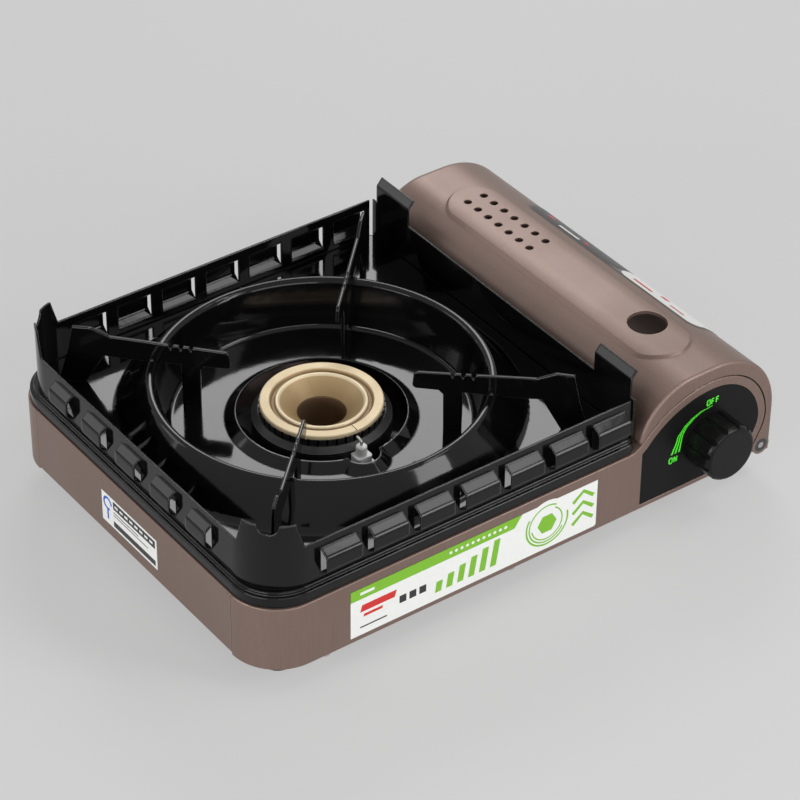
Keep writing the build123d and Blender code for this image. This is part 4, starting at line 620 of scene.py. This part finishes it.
flag = [bar(-110.0, 33.6, 22.0, 4.4, lean=1.2), bar(-108.0, 30.0, 12.0, 1.8, lean=0.5)]
sheet_piece("front_label_flag", flag, on_front, OVERPRINT, RED_FILM)
marks = [bar(-85.0 + 6.4 * i, 27.6, 4.4, 4.8) for i in range(3)] + [bar(-110.0, 23.0, 17.0, 0.9)]
sheet_piece("front_label_marks", marks, on_front, OVERPRINT, BLACK_FILM)

# side: white film with a blue ring, two dark blocks, white dashes and grey lines
side_film = bar(-38.4, 24.3, 54.4, 19.7)
sheet_piece("side_label", [side_film], on_left, FILM, WHITE_FILM)
blocks = [bar(-27.0, 37.4, 41.4, 5.2), bar(-27.0, 25.8, 41.4, 3.6)]
sheet_piece("side_label_blocks", blocks, on_left, PRINT, BLACK_FILM)
dashes = [bar(-25.4 + 4.9 * i, 39.2, 3.2, 1.5) for i in range(8)]
sheet_piece("side_label_dashes", dashes, on_left, OVERPRINT, WHITE_FILM)
lines = [bar(-27.0, 33.0 + 1.9 * i, 34.0 - 9.0 * i, 0.7) for i in range(2)]
sheet_piece("side_label_lines", lines, on_left, PRINT, GREY_FILM)
blue = [band((-32.6, 38.0), 3.6, 1.5, 0, 300), bar(-33.3, 27.4, 1.5, 6.2)]
sheet_piece("side_label_ring", blue, on_left, PRINT, BLUE_FILM)

# lid's right slope: a dark half and a white half in a grey border, with small marks on both
LID_AXIS = (126.2, 46.0)  # of the slope's round, x and z
LID_RADIUS = 44.3
LID_FILM = 0.06  # thickness
BORDER_LIFT, HALF_LIFT, MARK_LIFT = 0.1, 0.18, 0.25  # from the slope to a film's underside
MARK_CORNER = 0.5
HALF_TURN = (25.5, 66.6)  # degrees that both halves cover
RED_MARKS = (  # degrees, then y
    ((60.0, 62.0), (-62.0, -50.0)),
    ((52.0, 57.0), (-44.0, -38.0)),
    ((59.0, 62.0), (-34.0, -18.0)),
    ((60.0, 62.5), (22.0, 27.0)),
    ((56.0, 60.0), (56.0, 62.0)),
)


def lid_film(name, turn, y, corner, lift, material, steps=20):
    """A film with round corners that follows the slope between two angles and two depths."""
    mesh = bmesh.new()
    columns = []
    for i in range(steps + 1):
        angle = turn[0] + (turn[1] - turn[0]) * i / steps
        edge = radians(min(angle - turn[0], turn[1] - angle)) * LID_RADIUS
        short = max(corner - edge, 0.0)
        inset = corner - sqrt(corner * corner - short * short)
        rim = []
        for reach in (lift, lift + LID_FILM):
            radius = LID_RADIUS + reach
            x = LID_AXIS[0] + radius * cos(radians(angle))
            z = LID_AXIS[1] + radius * sin(radians(angle))
            rim += [mesh.verts.new((x, depth, z)) for depth in (y[0] + inset, y[1] - inset)]
        columns.append(rim)
    for before, after in zip(columns, columns[1:]):
        for j, k in ((0, 1), (1, 3), (3, 2), (2, 0)):
            mesh.faces.new((before[j], before[k], after[k], after[j]))
    for end in (columns[0], columns[-1]):
        mesh.faces.new((end[0], end[1], end[3], end[2]))
    piece(name, mesh, material, "lid")


lid_film("lid_label_border", (24.0, 68.0), (-77.0, 76.0), 7.0, BORDER_LIFT, GREY_FILM)
lid_film("lid_label_dark", HALF_TURN, (-6.0, 74.0), 6.0, HALF_LIFT, BLACK_FILM)
lid_film("lid_label_white", HALF_TURN, (-75.0, -8.0), 6.0, HALF_LIFT, WHITE_FILM)
for number, (turn, y) in enumerate(RED_MARKS):
    lid_film(f"lid_label_red_{number + 1}", turn, y, MARK_CORNER, MARK_LIFT, RED_FILM)
lid_film("lid_label_bar", (61.0, 64.0), (30.0, 48.0), MARK_CORNER, MARK_LIFT, WHITE_FILM)

# ---------------------------------------------------------------------------
# Rolled tabs where the pot supports cross the ridge
# ---------------------------------------------------------------------------
RIDGE_CREST = (93.0, 84.4)  # radius and height
SUPPORT_TURNS = {"front_left": 225.0, "front_right": 315.0, "back_right": 45.0, "back_left": 135.0}
CRIMP_GAP = 0.5
CRIMP_LENGTH = 3.4
CRIMP_RADIUS = 1.3
CRIMP_END = 0.1  # how far the square of the radius shrinks at a tab's ends


def crimp(name, turn, steps=10, sides=12):
    """Two short rolled tabs on the ridge's crest, one on each side of a support."""
    mesh = bmesh.new()
    for side in (-1.0, 1.0):
        loops = []
        for i in range(steps + 1):
            share = i / steps
            fat = CRIMP_RADIUS * max(1.0 - (2.0 * share - 1.0) ** 4, CRIMP_END) ** 0.5
            angle = radians(turn) + side * (CRIMP_GAP + share * CRIMP_LENGTH) / RIDGE_CREST[0]
            loop = []
            for j in range(sides):
                roll = 2.0 * pi * j / sides
                reach = RIDGE_CREST[0] + fat * cos(roll)
                height = RIDGE_CREST[1] + fat * sin(roll)
                x, y = BURNER[0] + reach * cos(angle), BURNER[1] + reach * sin(angle)
                loop.append(mesh.verts.new((x, y, height)))
            loops.append(loop)
        for before, after in zip(loops, loops[1:]):
            for j in range(sides):
                k = (j + 1) % sides
                mesh.faces.new((before[j], before[k], after[k], after[j]))
        mesh.faces.new(loops[0])
        mesh.faces.new(loops[-1][::-1])
    piece(name, mesh, FINISHES["black_enamel"].material, "tray")


for corner, turn in SUPPORT_TURNS.items():
    crimp(f"ridge_crimp_{corner}", turn)


# ---------------------------------------------------------------------------
# Floor, camera and lights
# ---------------------------------------------------------------------------
FLOOR_REACH = 8.0  # metres from the middle to a side
WORLD_LIGHT = 0.24
SENSOR = 36.0
CLIPPING = (0.05, 50.0)
AIM_HEIGHT = 0.05  # metres above the floor, where the lamps look
# direction, then distance, width, height and radiance; lengths in metres
SOFTBOXES = {
    "back_box": ((0.465, 0.645, 0.607), 1.6, 0.66, 0.44, 5.8),  # level faces mirror it
    "left_back_box": ((-0.62, 0.65, 0.42), 1.6, 0.5, 0.5, 2.0),
    "front_tall_box": ((0.475, -0.76, 0.45), 1.5, 0.5, 0.8, 7.0),
    "front_high_box": ((0.475, -0.257, 0.842), 1.5, 0.5, 0.3, 5.0),  # the louvres' tops mirror it
    "front_box": ((-0.2, -0.98, 0.25), 1.9, 1.5, 0.5, 3.6),
    "left_box": ((-0.95, -0.25, 0.25), 1.9, 1.4, 0.5, 8.5),
}


def looking(tree):
    """1 for the rays of the camera, of mirrors and of glass, 0 for those that only bring light."""
    path = tree.nodes.new("ShaderNodeLightPath")
    found = path.outputs["Is Camera Ray"]
    for name in ("Is Glossy Ray", "Is Transmission Ray"):
        either = tree.nodes.new("ShaderNodeMath")
        either.operation = "MAXIMUM"
        tree.links.new(found, either.inputs[0])
        tree.links.new(path.outputs[name], either.inputs[1])
        found = either.outputs[0]
    return found


def floor():
    """A plain pale floor under the stove, part of its colour even so that it meets the backdrop."""
    mesh = bmesh.new()
    bmesh.ops.create_grid(mesh, x_segments=1, y_segments=1, size=FLOOR_REACH)
    data = bpy.data.meshes.new("floor")
    mesh.to_mesh(data)
    mesh.free()
    obj = linked("floor", data)
    shade = (BACKDROP, BACKDROP, BACKDROP)
    look = Look("floor_paper", shade, Roughness=0.6, Specular_IOR_Level=0.2)
    glow = look.node("Emission", 0, {"Color": (*shade, 1.0)})
    share = look.math("MULTIPLY", looking(look.tree), EVENNESS)
    mixed = look.node("MixShader", 0, {0: share, 1: look.shader.outputs[0], 2: glow})
    look.tree.links.new(mixed, look.tree.nodes["Material Output"].inputs["Surface"])
    data.materials.append(look.material)


def aim_camera(azimuth, elevation, roll, distance, target, lens):
    """Makes the camera and points it at a target; angles in degrees, places in millimetres."""
    data = bpy.data.cameras.new("camera")
    data.lens = lens
    data.sensor_width = SENSOR
    data.clip_start, data.clip_end = CLIPPING
    camera = linked("camera", data)
    a, e, r = radians(azimuth), radians(elevation), radians(roll)
    back = Vector((-sin(a) * cos(e), -cos(a) * cos(e), sin(e)))
    right = (-back).cross(Vector((0.0, 0.0, 1.0))).normalized()
    up = right.cross(-back)
    across = right * cos(r) + up * sin(r)
    upward = up * cos(r) - right * sin(r)
    turn = Matrix((across, upward, back)).transposed().to_4x4()
    place = (Vector(target) + back * distance) * MM
    camera.matrix_world = Matrix.Translation(place) @ turn
    bpy.context.scene.camera = camera


def softbox(name, direction, distance, width, height, radiance):
    """A soft lamp that looks at the stove from a direction; radiance 1 is white."""
    data = bpy.data.lights.new(name, "AREA")
    data.shape = "RECTANGLE"
    data.size = width
    data.size_y = height
    data.energy = radiance * pi * width * height
    lamp = linked(name, data)
    away = Vector(direction).normalized()
    lamp.location = away * distance + Vector((0.0, 0.0, AIM_HEIGHT))
    lamp.visible_camera = False
    lamp.rotation_mode = "QUATERNION"
    lamp.rotation_quaternion = away.to_track_quat("Z", "Y")


def world():
    """Even light from all round; the camera, mirrors and glass see the backdrop in its place."""
    made = bpy.data.worlds.new("studio")
    made.use_nodes = True
    tree = made.node_tree
    plain = tree.nodes["Background"]
    plain.inputs["Color"].default_value = (1.0, 1.0, 1.0, 1.0)
    plain.inputs["Strength"].default_value = WORLD_LIGHT
    seen = tree.nodes.new("ShaderNodeBackground")
    seen.inputs["Color"].default_value = (BACKDROP, BACKDROP, BACKDROP, 1.0)
    mixed = tree.nodes.new("ShaderNodeMixShader")
    tree.links.new(looking(tree), mixed.inputs[0])
    tree.links.new(plain.outputs[0], mixed.inputs[1])
    tree.links.new(seen.outputs[0], mixed.inputs[2])
    tree.links.new(mixed.outputs[0], tree.nodes["World Output"].inputs["Surface"])
    bpy.context.scene.world = made


floor()
aim_camera(
    azimuth=36.32,
    elevation=36.70,
    roll=0.52,
    distance=1806.07,
    target=(6.02, 9.85, 44.2),
    lens=146.54,
)
for name, values in SOFTBOXES.items():
    softbox(name, *values)
world()
bpy.context.scene.view_settings.view_transform = "Standard"
